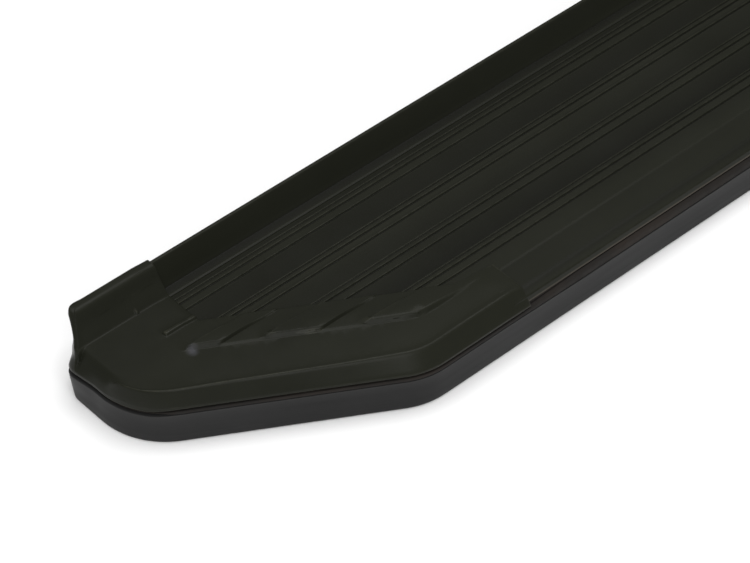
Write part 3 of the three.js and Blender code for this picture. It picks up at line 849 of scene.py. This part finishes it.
def pad_corners(low_y, high_y, inset=0.0):
    """A pad's plan, ending past the cap's inner edge, moved inwards."""
    slant = math.tan(SWEEP)
    shift = inset / math.cos(SWEEP)
    low, high = low_y + inset, high_y - inset * PAD_SIDE
    outer = lambda y: -HALF + (PAD_SWEEP_Y - y + shift) / slant
    inner = lambda y: WALL_END_X + (WINDOW_SWEEP_Y - y) / slant + 8
    sharp = max(3.2 - inset, 0.4)
    return [(outer(high), high, sharp * 1.5), (outer(low), low, sharp * 2.0),
            (inner(low), low, 0), (inner(high), high, 0)]


def rounded_pair(a, b, reach):
    """Distance from two edges at once, with their corner rounded."""
    rounded = reach - np.hypot(np.maximum(reach - a, 0), np.maximum(reach - b, 0))
    return np.minimum(rounded, np.minimum(a, b))


def pad_line(p):
    """Distance inwards from the slanted line that the pads start on."""
    return (p - [-HALF, PAD_SWEEP_Y]) @ SWEEP_NORMAL


def pad_distance(p, low_y, high_y):
    """Distance inwards from a pad's edge: steeper along the sides than at the outer end."""
    from_line = pad_line(p)
    front = low_y == PAD_BANDS[-1][0]
    from_low = (p[:, 1] - low_y) * (1 if front else 1 / PAD_SIDE)
    from_high = (high_y - p[:, 1]) / PAD_SIDE
    return np.minimum(rounded_pair(from_line, from_high, PAD_HIGH_RADIUS),
                      rounded_pair(from_line, from_low, PAD_LOW_RADIUS if front else 3.0))


PAD_SLOPE = curve_through([
    (-1, 0), (0, 0), (0.35, 0.1), (0.8, 0.55), (1.3, 1.15), (1.9, 1.85), (2.5, 2.42),
    (3.0, 2.72), (3.5, 2.86), (4.1, PAD_HEIGHT), (60, PAD_HEIGHT),
])
PAD_INSETS = [-0.4, 0.0, 0.35, 0.8, 1.3, 1.9, 2.5, 3.0, 3.5, 4.1]
LEDGE_TOP = 0.6
LEDGE_SLOPE = curve_through([(-1, 0), (0, 0), (0.3, 0.06), (0.7, 0.26), (1.1, 0.45), (1.6, 0.56),
                             (2.4, LEDGE_TOP), (400, LEDGE_TOP)])


def wedge_y(p):
    """Y that the upright's profile sees, so that its outer end is rounded in plan."""
    point, arriving, _, inward, *_ = FACTS[1]
    depth = (p - point) @ inward - CAP_EDGE
    reach = WEDGE_RADIUS - np.clip(depth, 0, WEDGE_RADIUS)
    along = np.sqrt(np.maximum(WEDGE_RADIUS**2 - reach**2, 0))
    centre = p + reach[:, None] * inward - along[:, None] * arriving
    seen = centre[:, 1] - WEDGE_RADIUS
    return np.where((centre[:, 0] > p[:, 0]) & (depth < WEDGE_RADIUS), seen, p[:, 1])


def rim_height(x, y, inset):
    """The sloped rim with its ridge, down to the floor inside it."""
    ridge = smooth((RIDGE_START_Y - y) / RIDGE_BLEND) * smooth((CAP_END_X - 0.8 - x) / 5)
    steep = smooth((y - 60) / 9)
    z = RIM_PLAIN(inset) * (1 - steep) + RIM_STEEP(inset) * steep
    return z * (1 - ridge) + RIM_RIDGED(inset / ridge_scale(x)) * ridge


def pads_height(p):
    """The low ledge that joins the pads, and the pads on it."""
    from_line = pad_line(p)
    first_high, last_low = PAD_BANDS[0][1], PAD_BANDS[-1][0]
    inside = rounded_pair(from_line, (first_high - p[:, 1]) / PAD_SIDE, PAD_HIGH_RADIUS)
    inside = np.minimum(inside, rounded_pair(from_line, p[:, 1] - last_low, PAD_LOW_RADIUS))
    ledge = LEDGE_SLOPE(inside)
    fade = 1 - PAD_FADE * smooth((from_line - 7) / 16)
    for low_y, high_y in PAD_BANDS:
        ledge = np.maximum(ledge, PAD_SLOPE(pad_distance(p, low_y, high_y)) * fade)
    ends = 1 - smooth((p[:, 0] - PAD_FADE_X) / 30)
    valley = 1 - 0.75 * smooth((window_distance(p) - 16) / -12)
    return ledge * ends * np.where(ledge < LEDGE_TOP + 0.01, valley, 1.0)


def rib_height(x, y):
    """The narrow rib beside the tread."""
    reach = np.hypot(np.maximum(RIB_START_X - x, 0),
                     np.maximum(np.abs(y - RIB_MIDDLE_Y) - RIB_HALF_WIDTH, 0))
    return 1.4 * smooth((1.6 - reach) / 1.4) * (x < WALL_END_X + 1)


def upright_height(p, inset):
    """The upright with its small bump and its rounded outer end."""
    x, y = p[:, 0], p[:, 1]
    bump = np.hypot(x - BUMP[0], (y - BUMP[1]) * 0.8)
    wall = UPRIGHT(wedge_y(p)) + 1.2 * smooth((1.7 - bump) / 1.5)
    round_off = 1.6 - np.sqrt(np.maximum(1.6**2 - np.maximum(1.9 - inset, 0) ** 2, 0))
    return np.where(y > 66, wall - round_off * smooth((y - 66) / 10), wall)


def cap_height(p):
    """Height of the cap's outer surface at plan points."""
    x, y = p[:, 0], p[:, 1]
    inset = inset_of(p)
    floor = rim_height(x, y, inset) + pads_height(p) + rib_height(x, y)
    wall = upright_height(p, inset)
    blend = 0.15
    both = np.maximum(floor, wall) + np.maximum(blend - np.abs(floor - wall), 0) ** 2 / (4 * blend)
    edge = window_distance(p)
    both = both - 0.4 * (1 - smooth(edge / 0.7)) ** 2 - WINDOW_TAPER * smooth((13 - edge) / 12)
    return np.minimum(both, CAP_TOP_Z)


def cap_roof(p):
    """Height of the cap's inner surface at plan points."""
    y = p[:, 1]
    share = np.clip((y - ROOF_RISE_Y) / ROOF_RISE_RUN, 0, 1)
    slope = CAP_ROOF_Z + share * (FLANGE_TOP_Z + 0.3 - CAP_ROOF_Z)
    rim = ROOF_RIM(inset_of(p))
    return np.where(y > ROOF_RISE_Y, np.maximum(rim, slope), rim)


def flare(verts):
    """Pushes the rear corner of the rim, the bead and the trim a little outwards."""
    left = np.column_stack([-np.abs(verts[:, 0]), verts[:, 1]])
    z = verts[:, 2]
    amount = curve_through([(-5, 0), (0, 0), (10, 0.7), (TRIM_TOP_Z, 2.0), (28.6, 2.0), (31, 1.0),
                            (33, 0.2), (36, 0), (60, 0)])(z)
    amount = amount * smooth((left[:, 1] - 42) / 22) * smooth((REAR_CORNER_X - left[:, 0]) / 10)
    amount = amount * (1 - smooth(inset_of(left) / 12)) * (1 - smooth((left[:, 1] - 66) / 8))
    push = -inward_of(left) * amount[:, None]
    push[:, 0] *= np.where(verts[:, 0] > 0, -1, 1)
    moved = verts.copy()
    moved[:, :2] += push
    return moved


def cap_cove(verts):
    """Draws in the upright's rounded outer end between its top and the rim."""
    verts = flare(verts)
    p, z = verts[:, :2], verts[:, 2]
    amount = curve_through([(20, 0), (27, 0), (29, 0.4), (31, 0.9), (34, 1.7), (38, 2.2),
                            (42, 1.9), (46, 1.0), (50, 0), (53, -0.7), (60, -0.9)])(z)
    where = smooth((p[:, 1] - 55) / 10) * smooth((REAR_CORNER_X - p[:, 0]) / 10)
    fade = 1 - smooth(inset_of(p) / 9)
    moved = verts.copy()
    moved[:, :2] += inward_of(p) * (amount * where * fade)[:, None]
    lip = curve_through([(20, 1), (CAP_LIP_Z, 1), (CAP_LIP_Z + 6, 0), (60, 0)])(z)
    moved[:, 2] -= LIP_DROP * lip * end_share(p)
    return moved


def boundary_loop(triangles):
    """The single loop of edges that belong to one triangle, in the triangles' direction."""
    edges = {(t[i - 1], t[i]) for t in triangles for i in range(3)}
    following = {a: b for a, b in edges if (b, a) not in edges}
    start = next(iter(following))
    loop = [start]
    while following[loop[-1]] != start:
        loop.append(following[loop[-1]])
    return loop


def on_window(point):
    for a, b in zip(WINDOW, WINDOW[1:]):
        t = ((point - a) @ (b - a)) / ((b - a) @ (b - a))
        if -1e-4 < t < 1 + 1e-4 and np.linalg.norm(point - a - t * (b - a)) < 1e-3:
            return True
    return False


def edge_chain(plan, triangles):
    """Boundary split into the part along the outline and the part along the inner edge."""
    loop = boundary_loop(triangles)
    inner = [on_window(plan[i]) for i in loop]
    count = len(loop)
    start = next(k for k in range(count) if inner[k] and inner[k - 1] and not inner[(k + 1) % count])
    loop = loop[start:] + loop[:start]
    inner = inner[start:] + inner[:start]
    # the loop starts on the inner edge's last point, runs along the outline, and comes back
    stop = next(k for k in range(1, count) if inner[k])
    return loop[:stop + 1], loop[stop:] + loop[:1]


def cap_path(inset, past=0.0):
    """The outline moved inwards, and run past the cap's two ends."""
    return left_path(inset, CAP_END_X + past, rear_x=WALL_END_X + past)


def cap_lines():
    """Lines that the mesh of the cap's top follows, where its height changes quickly."""
    lines = []
    for inset in RIM_INSETS:
        narrow, wide = cap_path(inset * 0.3, 3), cap_path(inset, 3)
        scale = ridge_scale((narrow[:, 0] + wide[:, 0]) / 2)
        behind = (wide[:, 1] - RIDGE_START_Y + RIDGE_BLEND) / RIDGE_BLEND
        share = np.where(behind > 1, 1.0, (scale - 0.3) / 0.7)
        share = share + (1 - share) * smooth(behind)
        lines.append(narrow + (wide - narrow) * share[:, None])
    for y in UPRIGHT_YS:
        lines.append(dense([(-HALF - 2, y), (WALL_END_X + 2, y)], 7.0))
    for low_y, high_y in PAD_BANDS:
        for inset in PAD_INSETS:
            corners = pad_corners(low_y, high_y, inset)
            lines.append(dense(fillet([corners[3], *corners[:3]], closed=False), 6.0))
    for offset in (0.12, 0.3, 0.7):
        lines.append([(WALL_END_X - offset, REAR_Y), (WALL_END_X - offset, WINDOW_SWEEP_Y)])
        lines.append(dense(WINDOW[3:1:-1] - SWEEP_NORMAL * offset, 5.0))
        lines.append([(CAP_END_X - offset, WINDOW_FRONT_Y - 2), (CAP_END_X - offset, FRONT_Y)])
    for inset in (0.0, 0.35, 0.8, 1.3, 2.0, 3.0):
        corners = pad_corners(PAD_BANDS[-1][0], PAD_BANDS[0][1], inset)
        lines.append(dense([corners[0][:2], corners[1][:2]], 4.0))
    for reach in (0.2, 0.5, 0.8, 1.1, 1.4, 1.6):
        turn = [math.pi / 2 + math.pi * k / 12 for k in range(13)]
        side = [math.copysign(RIB_HALF_WIDTH, math.sin(a)) for a in turn]
        loop = [(RIB_START_X + reach * math.cos(a), RIB_MIDDLE_Y + half + reach * math.sin(a))
                for a, half in zip(turn, side)]
        start, stop = ((WALL_END_X + 1, y) for y in (loop[0][1], loop[-1][1]))
        lines.append(dense([start, *loop, stop], 4.0))
    for reach in (0.4, 0.8, 1.2, 1.6, 1.9):
        turn = [2 * math.pi * k / 16 for k in range(17)]
        lines.append([(BUMP[0] + reach * math.cos(a), BUMP[1] + reach * 1.25 * math.sin(a))
                      for a in turn])
    for inset in (0.6, 1.2, 2.0, 2.8, 3.6, 4.6):  # round the upright's outer end
        aside = FACTS[1][3] * (inset + CAP_EDGE)
        lines.append(dense([FACTS[0][0] + aside, FACTS[1][0] + aside], 1.5))
    return lines


def dense(points, step):
    """Polyline with no run longer than step."""
    points = [np.array(point) for point in points]
    result = []
    for here, after in zip(points, points[1:]):
        count = max(1, math.ceil(np.linalg.norm(after - here) / step))
        result += [here + (after - here) * k / count for k in range(count)]
    return result + points[-1:]


class Shell:
    """Points and faces of a mesh in the making."""

    def __init__(self):
        self.verts = np.empty((0, 3))
        self.faces = []

    def row(self, plan, z):
        """Adds points at one height or at one each, and returns their numbers."""
        first = len(self.verts)
        added = np.column_stack([plan, np.broadcast_to(z, len(plan))])
        self.verts = np.vstack([self.verts, added])
        return list(range(first, len(self.verts)))

    def sheet(self, plan, z, triangles, turn=1):
        numbers = self.row(plan, z)
        self.faces += [tuple(numbers[i] for i in t[::turn]) for t in triangles]
        return numbers

    def strip(self, upper, lower):
        """Adds quads between two chains of points."""
        self.faces += [(upper[i + 1], upper[i], lower[i], lower[i + 1])
                       for i in range(len(upper) - 1)]


def build_cap_left(material):
    shell = Shell()
    outline = np.vstack([cap_path(CAP_EDGE), dense(WINDOW, 3.0)[1:-1]])
    grid = [(x, y) for x in np.arange(-846, -600, 5.0) for y in np.arange(-80, 62, 5.0)]
    plan, triangles = triangulate([outline], cap_lines(), grid)
    shell.sheet(plan, cap_height(plan), triangles)
    rim, window = edge_chain(plan, triangles)

    # outer wall down to the lip, softened at the lip's edge
    chain, high, inward = plan[rim], shell.verts[rim, 2], inward_of(plan[rim])
    count, soft_z = 6, CAP_LIP_Z + 0.7
    levels = [(0, high + (soft_z - high) * k / count) for k in range(1, count + 1)]
    walls = [rim]
    for offset, z in levels + [(0.12, CAP_LIP_Z + 0.3), (0.4, CAP_LIP_Z + 0.08), (0.7, CAP_LIP_Z)]:
        walls.append(shell.row(chain + inward * offset, z))
        shell.strip(walls[-2], walls[-1])
    wall_ends = [[wall[i] for wall in walls[1:]] for i in (0, -1)]

    # inner surface, down to the lip
    deep = cap_path(CAP_EDGE + CAP_WALL)
    window_run = dense([deep[-1], *WINDOW[1:-1], deep[0]], 12.0)[1:-1]
    lines = [[(-HALF, y), (WALL_END_X - 0.01, y)]
             for y in (ROOF_RISE_Y, ROOF_RISE_Y + 0.05, ROOF_RISE_Y + ROOF_RISE_RUN)]
    lines += [cap_path(inset, 3) for inset in (3.3, 4.6, 6.0, 7.6, 8.4)]
    plan, triangles = triangulate([np.vstack([deep, window_run])], lines)
    roof = shell.sheet(plan, cap_roof(plan), triangles, -1)
    roof_rim, roof_window = edge_chain(plan, triangles)
    lip = shell.row(plan[roof_rim], CAP_LIP_Z)
    shell.strip(lip, [roof[i] for i in roof_rim])

    # lip between the two walls, then the vertical faces of the inner edge
    plan, triangles = triangulate([shell.verts[walls[-1] + lip[::-1]][:, :2]])
    shell.sheet(plan, CAP_LIP_Z, triangles, -1)
    roof_window = [roof[i] for i in roof_window]
    shell.faces += window_faces(shell.verts, window, roof_window, wall_ends, lip)
    piece = solid("end_cap_shell_left", cap_cove(shell.verts), shell.faces)
    return finish_piece(piece, material, "board", "cap", "end_cap_left")


def window_faces(verts, window, roof_window, wall_ends, lip):
    """Planar faces between the top and the inner surface along each run of the inner edge."""
    faces = []
    for run, (a, b) in enumerate(zip(WINDOW, WINDOW[1:])):
        along = unit(b - a)
        length = np.linalg.norm(b - a)

        def picked(chain):
            """The chain's points on this run, in order."""
            found = []
            for i in chain:
                t = (verts[i][:2] - a) @ along
                off = abs((verts[i][:2] - a) @ np.array([-along[1], along[0]]))
                if off < 2e-3 and -1e-3 < t < length + 1e-3:
                    found.append((t, i))
            return [i for _, i in sorted(found)]

        high, low = picked(window), picked(roof_window)
        polygon = high + low[::-1]
        if run == 0:
            # the front end also closes the outer wall
            polygon = high + low[::-1] + [lip[-1]] + wall_ends[1][::-1]
        if run == len(WINDOW) - 2:
            polygon = high + wall_ends[0] + [lip[0]] + low[::-1]
        faces.append(tuple(polygon))
    return faces


# ---- Side trim, seal bead and end bases


def build_trim(material):
    wall = 2.5
    profiles = []
    for top in (TRIM_TOP_Z + SWEEP_RISE, TRIM_TOP_Z):
        corners = [
            (0.5, 0, 0.6), (6, 0, 0.5), (6, wall, 0.6), (wall, wall, 0.9), (wall, top - wall, 0.9),
            (7.3, top - wall, 0.6), (7.3, top, 0.5), (0.05, top, 0.3), (0.0, top * 0.72, 0),
            (0.0, 6.0, 0), (0.2, 2.6, 0),
        ]
        profiles.append(supported(fillet(corners)))
    piece = swept_round("side_trim_band", profiles, trim_shares)
    for i in range(1, 6):
        x, y, *_ = node_axis(f"trim_screw_{i}")
        plan = fillet([(x - 12, FRONT_Y + 1.6, 0), (x + 12, FRONT_Y + 1.6, 0),
                       (x + 12, y + 10, 5), (x - 12, y + 10, 5)])
        tab = plate("tab", plan, DECK_BOTTOM_Z - 3.0, DECK_BOTTOM_Z - 0.3, 0.4)
        join(piece, tab)
    return finish_piece(piece, material, "board", "trim", "side_trim")


def end_share(p):
    """1 at the board's end and 0 along the sweep."""
    return smooth((p[:, 1] + 6) / 14)


def seal_shares(p):
    """How much of the end, swept and front profile the bead has at plan points."""
    front = smooth((np.abs(p[:, 0]) + CAP_END_X) / -8)
    end = end_share(p) * (1 - front)
    return np.array([end, 1 - end - front, front])


def trim_shares(p):
    """How much of the raised and the plain profile the trim has at plan points."""
    end, sweep, front = seal_shares(p)
    return np.array([sweep, end + front])


def build_seal(material):
    low, top = BEAD_LOW_Z, CAP_LIP_Z - 0.3
    raised, nested = low + SWEEP_RISE, NOSE_LOW_Z - 0.8
    profiles = []
    for foot, crest, face in (
        (low, BEAD_TOP_Z,
         [(3.2, low, 0.4), (3.0, low + 0.8, 0.4), (1.5, low + 1.4, 0.5),
          (1.5, top - 3.1, 0.5), (2.6, top - 2.4, 0.3), (3.1, top - 2.4, 0.3)]),
        (raised, BEAD_TOP_Z,
         [(0.9, raised, 0.1), (0.2, raised + 0.4, 0.2), (0.2, raised + 1.6, 0.6),
          (0.5, top - 1.3, 0.4), (2.4, top - 0.9, 0.4), (3.1, top - 0.9, 0.3)]),
        (low, nested,
         [(0.9, low, 0.1), (0.4, low + 0.6, 0.3), (0.6, low + 4.0, 1.2),
          (1.2, nested - 0.8, 0.5), (2.3, nested, 0.3), (2.9, nested, 0.3)]),
    ):
        loop = [(7, foot, 0.4), (7, crest, 0.4), (3.1, crest, 0.3)] + face[::-1]
        profiles.append(even_corners(loop))
    piece = swept_round("seal_strip", profiles, seal_shares)
    return finish_piece(piece, material, "board", "seal", "seal_bead")


def even_corners(corners, steps=4):
    """Rounded closed loop with the same number of points whatever its corners' angles."""
    points = []
    count = len(corners)
    for i, (u, v, radius) in enumerate(corners):
        here = np.array([u, v])
        before, after = np.array(corners[i - 1][:2]), np.array(corners[(i + 1) % count][:2])
        reach = min(radius, np.linalg.norm(before - here) * 0.45,
                    np.linalg.norm(after - here) * 0.45)
        start = here + unit(before - here) * reach
        stop = here + unit(after - here) * reach
        for k in range(steps + 1):
            t = k / steps
            points.append(start * (1 - t) ** 2 + here * 2 * t * (1 - t) + stop * t * t)
    return np.array(points)


def base_plan(inset, front_x, rear_y):
    path = left_path(inset, front_x, rear_x=WALL_END_X, front_steps=4)
    kept = [p for p in path if p[1] <= rear_y]
    first = kept[0]
    return [np.array([front_x, rear_y]), np.array([first[0] + 1.0, rear_y]), *kept]


def build_base_left(material):
    _, high = box_mm("end_base_left")
    plate_low = DECK_BOTTOM_Z - 3.0
    plate_top = DECK_BOTTOM_Z - 0.3
    piece = plate("end_base_tray_left", base_plan(2.8, high[0], high[1]), plate_low, plate_top)
    for y in (-50, -20, 10, 40):
        x0 = -HALF + 12 + max(SWEEP_START_Y - y, 0) / math.tan(SWEEP)
        rib = [(x0, y - 1, 0.6), (high[0] - 8, y - 1, 0.6), (high[0] - 8, y + 1, 0.6),
               (x0, y + 1, 0.6)]
        join(piece, plate("rib", fillet(rib), plate_low - 3.5, plate_low + 0.5, 0.4))
    wall_low, wall_high = plate_top - 0.5, TREAD_Z - 0.5
    wall_end = -HALF + 178.4
    rows = []
    for (x0, y0), (x1, y1) in zip(left_path(8, wall_end, rear_x=WALL_END_X),
                                  left_path(10, wall_end, rear_x=WALL_END_X)):
        if y0 >= high[1] - 1:
            continue
        rows.append([(x0, y0, wall_low), (x1, y1, wall_low), (x1, y1, wall_high - 0.4),
                     (x1 * 0.7 + x0 * 0.3, y1 * 0.7 + y0 * 0.3, wall_high),
                     (x0 * 0.7 + x1 * 0.3, y0 * 0.7 + y1 * 0.3, wall_high),
                     (x0, y0, wall_high - 0.4)])
    join(piece, loft("wall", rows))
    for i in (1, 2):
        x, y, *_ = node_axis(f"cap_screw_left_{i}")
        boss = turned("boss", [(plate_low + 1, 5.5), (22.8, 5.3), (23.5, 4.8), (23.5, 2.3),
                               (plate_low + 1, 2.3)], x, y, closed_rows=True, steps=24)
        join(piece, boss)
    return finish_piece(piece, material, "board", "base", "end_base_left")


# ---- Fasteners


def thread(low, high, minor, major, pitch, rows=6):
    """Levels of a threaded length, from low to high."""
    levels = []
    count = math.ceil((high - low) / pitch * rows)
    for k in range(count + 1):
        z = low + (high - low) * k / count
        taper = min(1.0, (z - low) / pitch + 0.15, (high - z) / pitch + 0.15)

        def radius(angles, z=z, taper=taper):
            phase = (z / pitch - angles / (2 * math.pi)) % 1.0
            return minor + (major - minor) * taper * (1 - np.abs(2 * phase - 1)) ** 0.8

        levels.append((z, radius))
    return levels


def polygon_radius(sides, flats, limit=None):
    """Radius by angle of a regular polygon across its flats, trimmed to a circle if limited."""
    def radius(angles):
        half = math.pi / sides
        r = flats / 2 / np.cos((angles + half) % (2 * half) - half)
        return r if limit is None else np.minimum(r, limit)
    return radius


def cross_radius(arm, width):
    """Radius by angle of a cross-shaped driver recess."""
    def radius(angles):
        turn = np.abs((angles + math.pi / 4) % (math.pi / 2) - math.pi / 4)
        return np.minimum(arm, width / np.maximum(np.sin(turn), 1e-3))
    return radius


def screw_levels(low, tip):
    """Pan-head self-tapping screw pointing up, with a cross recess."""
    seat = low + 2.4
    head = [
        (low + 1.25, cross_radius(0.9, 0.25)), (low + 1.0, cross_radius(1.9, 0.4)),
        (low + 0.02, cross_radius(2.3, 0.5)), (low, 2.9), (low + 0.35, 3.7), (low + 0.9, 4.25),
        (low + 1.5, 4.48), (seat - 0.15, 4.5), (seat, 4.35), (seat, 1.6),
    ]
    shank = thread(seat + 0.2, tip - 2.2, 1.45, 2.0, 1.4)
    return head + shank + [(tip - 1.0, 0.8), (tip, 0.15)]


def bolt_levels(low, high):
    """Square-headed bolt whose head slides in the deck's channel."""
    head_low = high - 5.0
    square = lambda flats, corner: polygon_radius(4, flats, corner)
    return [
        (low, 2.9), (low + 0.9, 3.35), *thread(low + 1.0, head_low - 2.0, 3.35, 4.0, 1.25),
        (head_low - 1.6, 3.95), (head_low - 0.3, 3.98), (head_low, 4.3),
        (head_low, square(13.4, 8.9)), (head_low + 0.35, square(14.0, 9.3)),
        (high - 0.9, square(14.0, 9.3)), (high - 0.25, square(13.4, 8.5)),
        (high, square(12.6, 7.6)), (high, 2.0),
    ]


def washer_levels(low, high):
    return [
        (low, 9.7), (low + 0.25, 10.0), (high - 0.45, 10.0), (high - 0.15, 9.85), (high, 9.5),
        (high, 4.7), (high - 0.3, 4.35), (low + 0.2, 4.3), (low, 4.5),
    ]


def nut_levels(low, high):
    """Hexagon nut with a round flange and a threaded bore."""
    hexagon = lambda corner: polygon_radius(6, 13.0, corner)
    outside = [
        (low, 6.2), (low + 0.35, hexagon(6.9)), (low + 0.9, hexagon(7.4)),
        (high - 2.6, hexagon(7.45)), (high - 1.9, hexagon(7.5)), (high - 1.5, 7.9),
        (high - 0.9, 8.35), (high - 0.3, 8.5), (high, 8.3),
    ]
    bore = [(high, 4.9), (high - 0.5, 4.45)]
    bore += thread(low + 0.8, high - 0.8, 4.2, 4.5, 1.25)[::-1]
    return outside + bore + [(low + 0.4, 4.5), (low, 4.8)]


def build_fastener(name, node, body, material, levels, ring=False):
    """A turned piece on its CAD node's axis. A ring's levels come back to where they start."""
    x, y, low, high = node_axis(node)
    piece = turned(name, levels(low, high), x, y, closed_rows=ring, steps=48)
    finish_piece(piece, material, body, "zinc", node)


def build_fasteners(zinc):
    ends = [f"{side}_{i}" for side in ("left", "right") for i in (1, 2)]
    screws = [("trim", i) for i in range(1, 6)]
    for end in ends:
        screws += [("base", end), ("cap", end)]
    for group, where in screws:
        name, node = f"{group}_pan_screw_{where}", f"{group}_screw_{where}"
        build_fastener(name, node, "board", zinc, screw_levels)
    for where in (f"{row}_{i}" for row in ("rear", "front") for i in (1, 2, 3)):
        body = f"bolt_set_{where}"
        build_fastener(f"sliding_bolt_{where}", f"t_bolt_{where}", body, zinc, bolt_levels)
        build_fastener(f"flat_washer_{where}", f"washer_{where}", body, zinc, washer_levels, True)
        build_fastener(f"hex_flange_nut_{where}", f"flange_nut_{where}", body, zinc, nut_levels, True)


# ---- Stage


def build_floor():
    side = 30.0
    mesh = bpy.data.meshes.new("floor")
    mesh.from_pydata([(-side, -side, 0), (side, -side, 0), (side, side, 0), (-side, side, 0)],
                     [], [(0, 1, 2, 3)])
    floor = in_scene("floor", mesh)
    floor.location.z = -0.0005
    n = Nodes("pale_floor")
    n.link(n.mix(n.noise(2.0), (0.86, 0.86, 0.86, 1), (0.9, 0.9, 0.9, 1)),
           n.shader.inputs["Base Color"])
    n.shader.inputs["Roughness"].default_value = 0.9
    n.shader.inputs["Specular IOR Level"].default_value = 0.1
    mesh.materials.append(n.material)


def area_light(name, place, target, size, power):
    light = bpy.data.lights.new(name, "AREA")
    light.shape = "RECTANGLE"
    light.size, light.size_y = size
    light.energy = power
    lamp = in_scene(name, light)
    lamp.location = place
    lamp.rotation_euler = (Vector(target) - Vector(place)).to_track_quat("-Z", "Y").to_euler()


def build_light():
    scene = bpy.context.scene
    world = bpy.data.worlds.new("studio")
    world.use_nodes = True
    background = world.node_tree.nodes["Background"]
    background.inputs["Color"].default_value = (1.0, 1.0, 1.0, 1)
    background.inputs["Strength"].default_value = 0.3
    scene.world = world
    scene.view_settings.view_transform = "Standard"
    area_light("overhead", (-0.6, 0.1, 2.0), (-0.6, 0.1, 0), (2.6, 1.7), 46)
    area_light("front_fill", (-1.5, -1.8, 1.5), (-0.6, 0, 0), (1.4, 1.4), 24)


def build_camera():
    data = bpy.data.cameras.new("camera")
    data.sensor_width = 36.0
    data.lens = 155.9
    data.clip_start, data.clip_end = 0.05, 60.0
    camera = in_scene("camera", data)
    azimuth, elevation, distance = math.radians(-42.19), math.radians(44.59), 1.9646
    back = Vector((math.sin(azimuth) * math.cos(elevation),
                   -math.cos(azimuth) * math.cos(elevation), math.sin(elevation)))
    target = Vector((-0.6750, -0.0103, TREAD_Z * MM))
    camera.location = target + back * distance
    camera.rotation_euler = (-back).to_track_quat("-Z", "Y").to_euler()
    bpy.context.scene.camera = camera


# ---- The board


def build_board():
    coat = powder_coat()
    # the cap's last argument places the painted highlight spot on the first pad's tip
    cap = moulded_plastic("cap_plastic", tone(26, 27, 21), tone(30, 31, 24), 0.3, 0.4, 0.09,
                          (*PAD_TIP, CAP_FLOOR_Z + PAD_HEIGHT - 1))
    base = moulded_plastic("base_plastic", tone(24, 24, 23), tone(31, 31, 29), 0.55, 0.68, 0.35)
    build_deck(coat)
    mirrored(build_cap_left(cap), "end_cap_shell_right", "cap", "end_cap_right")
    build_trim(satin_trim())
    build_seal(seal_rubber())
    mirrored(build_base_left(base), "end_base_tray_right", "base", "end_base_right")
    build_fasteners(zinc_plate())


build_camera()
build_light()
build_floor()
build_board()
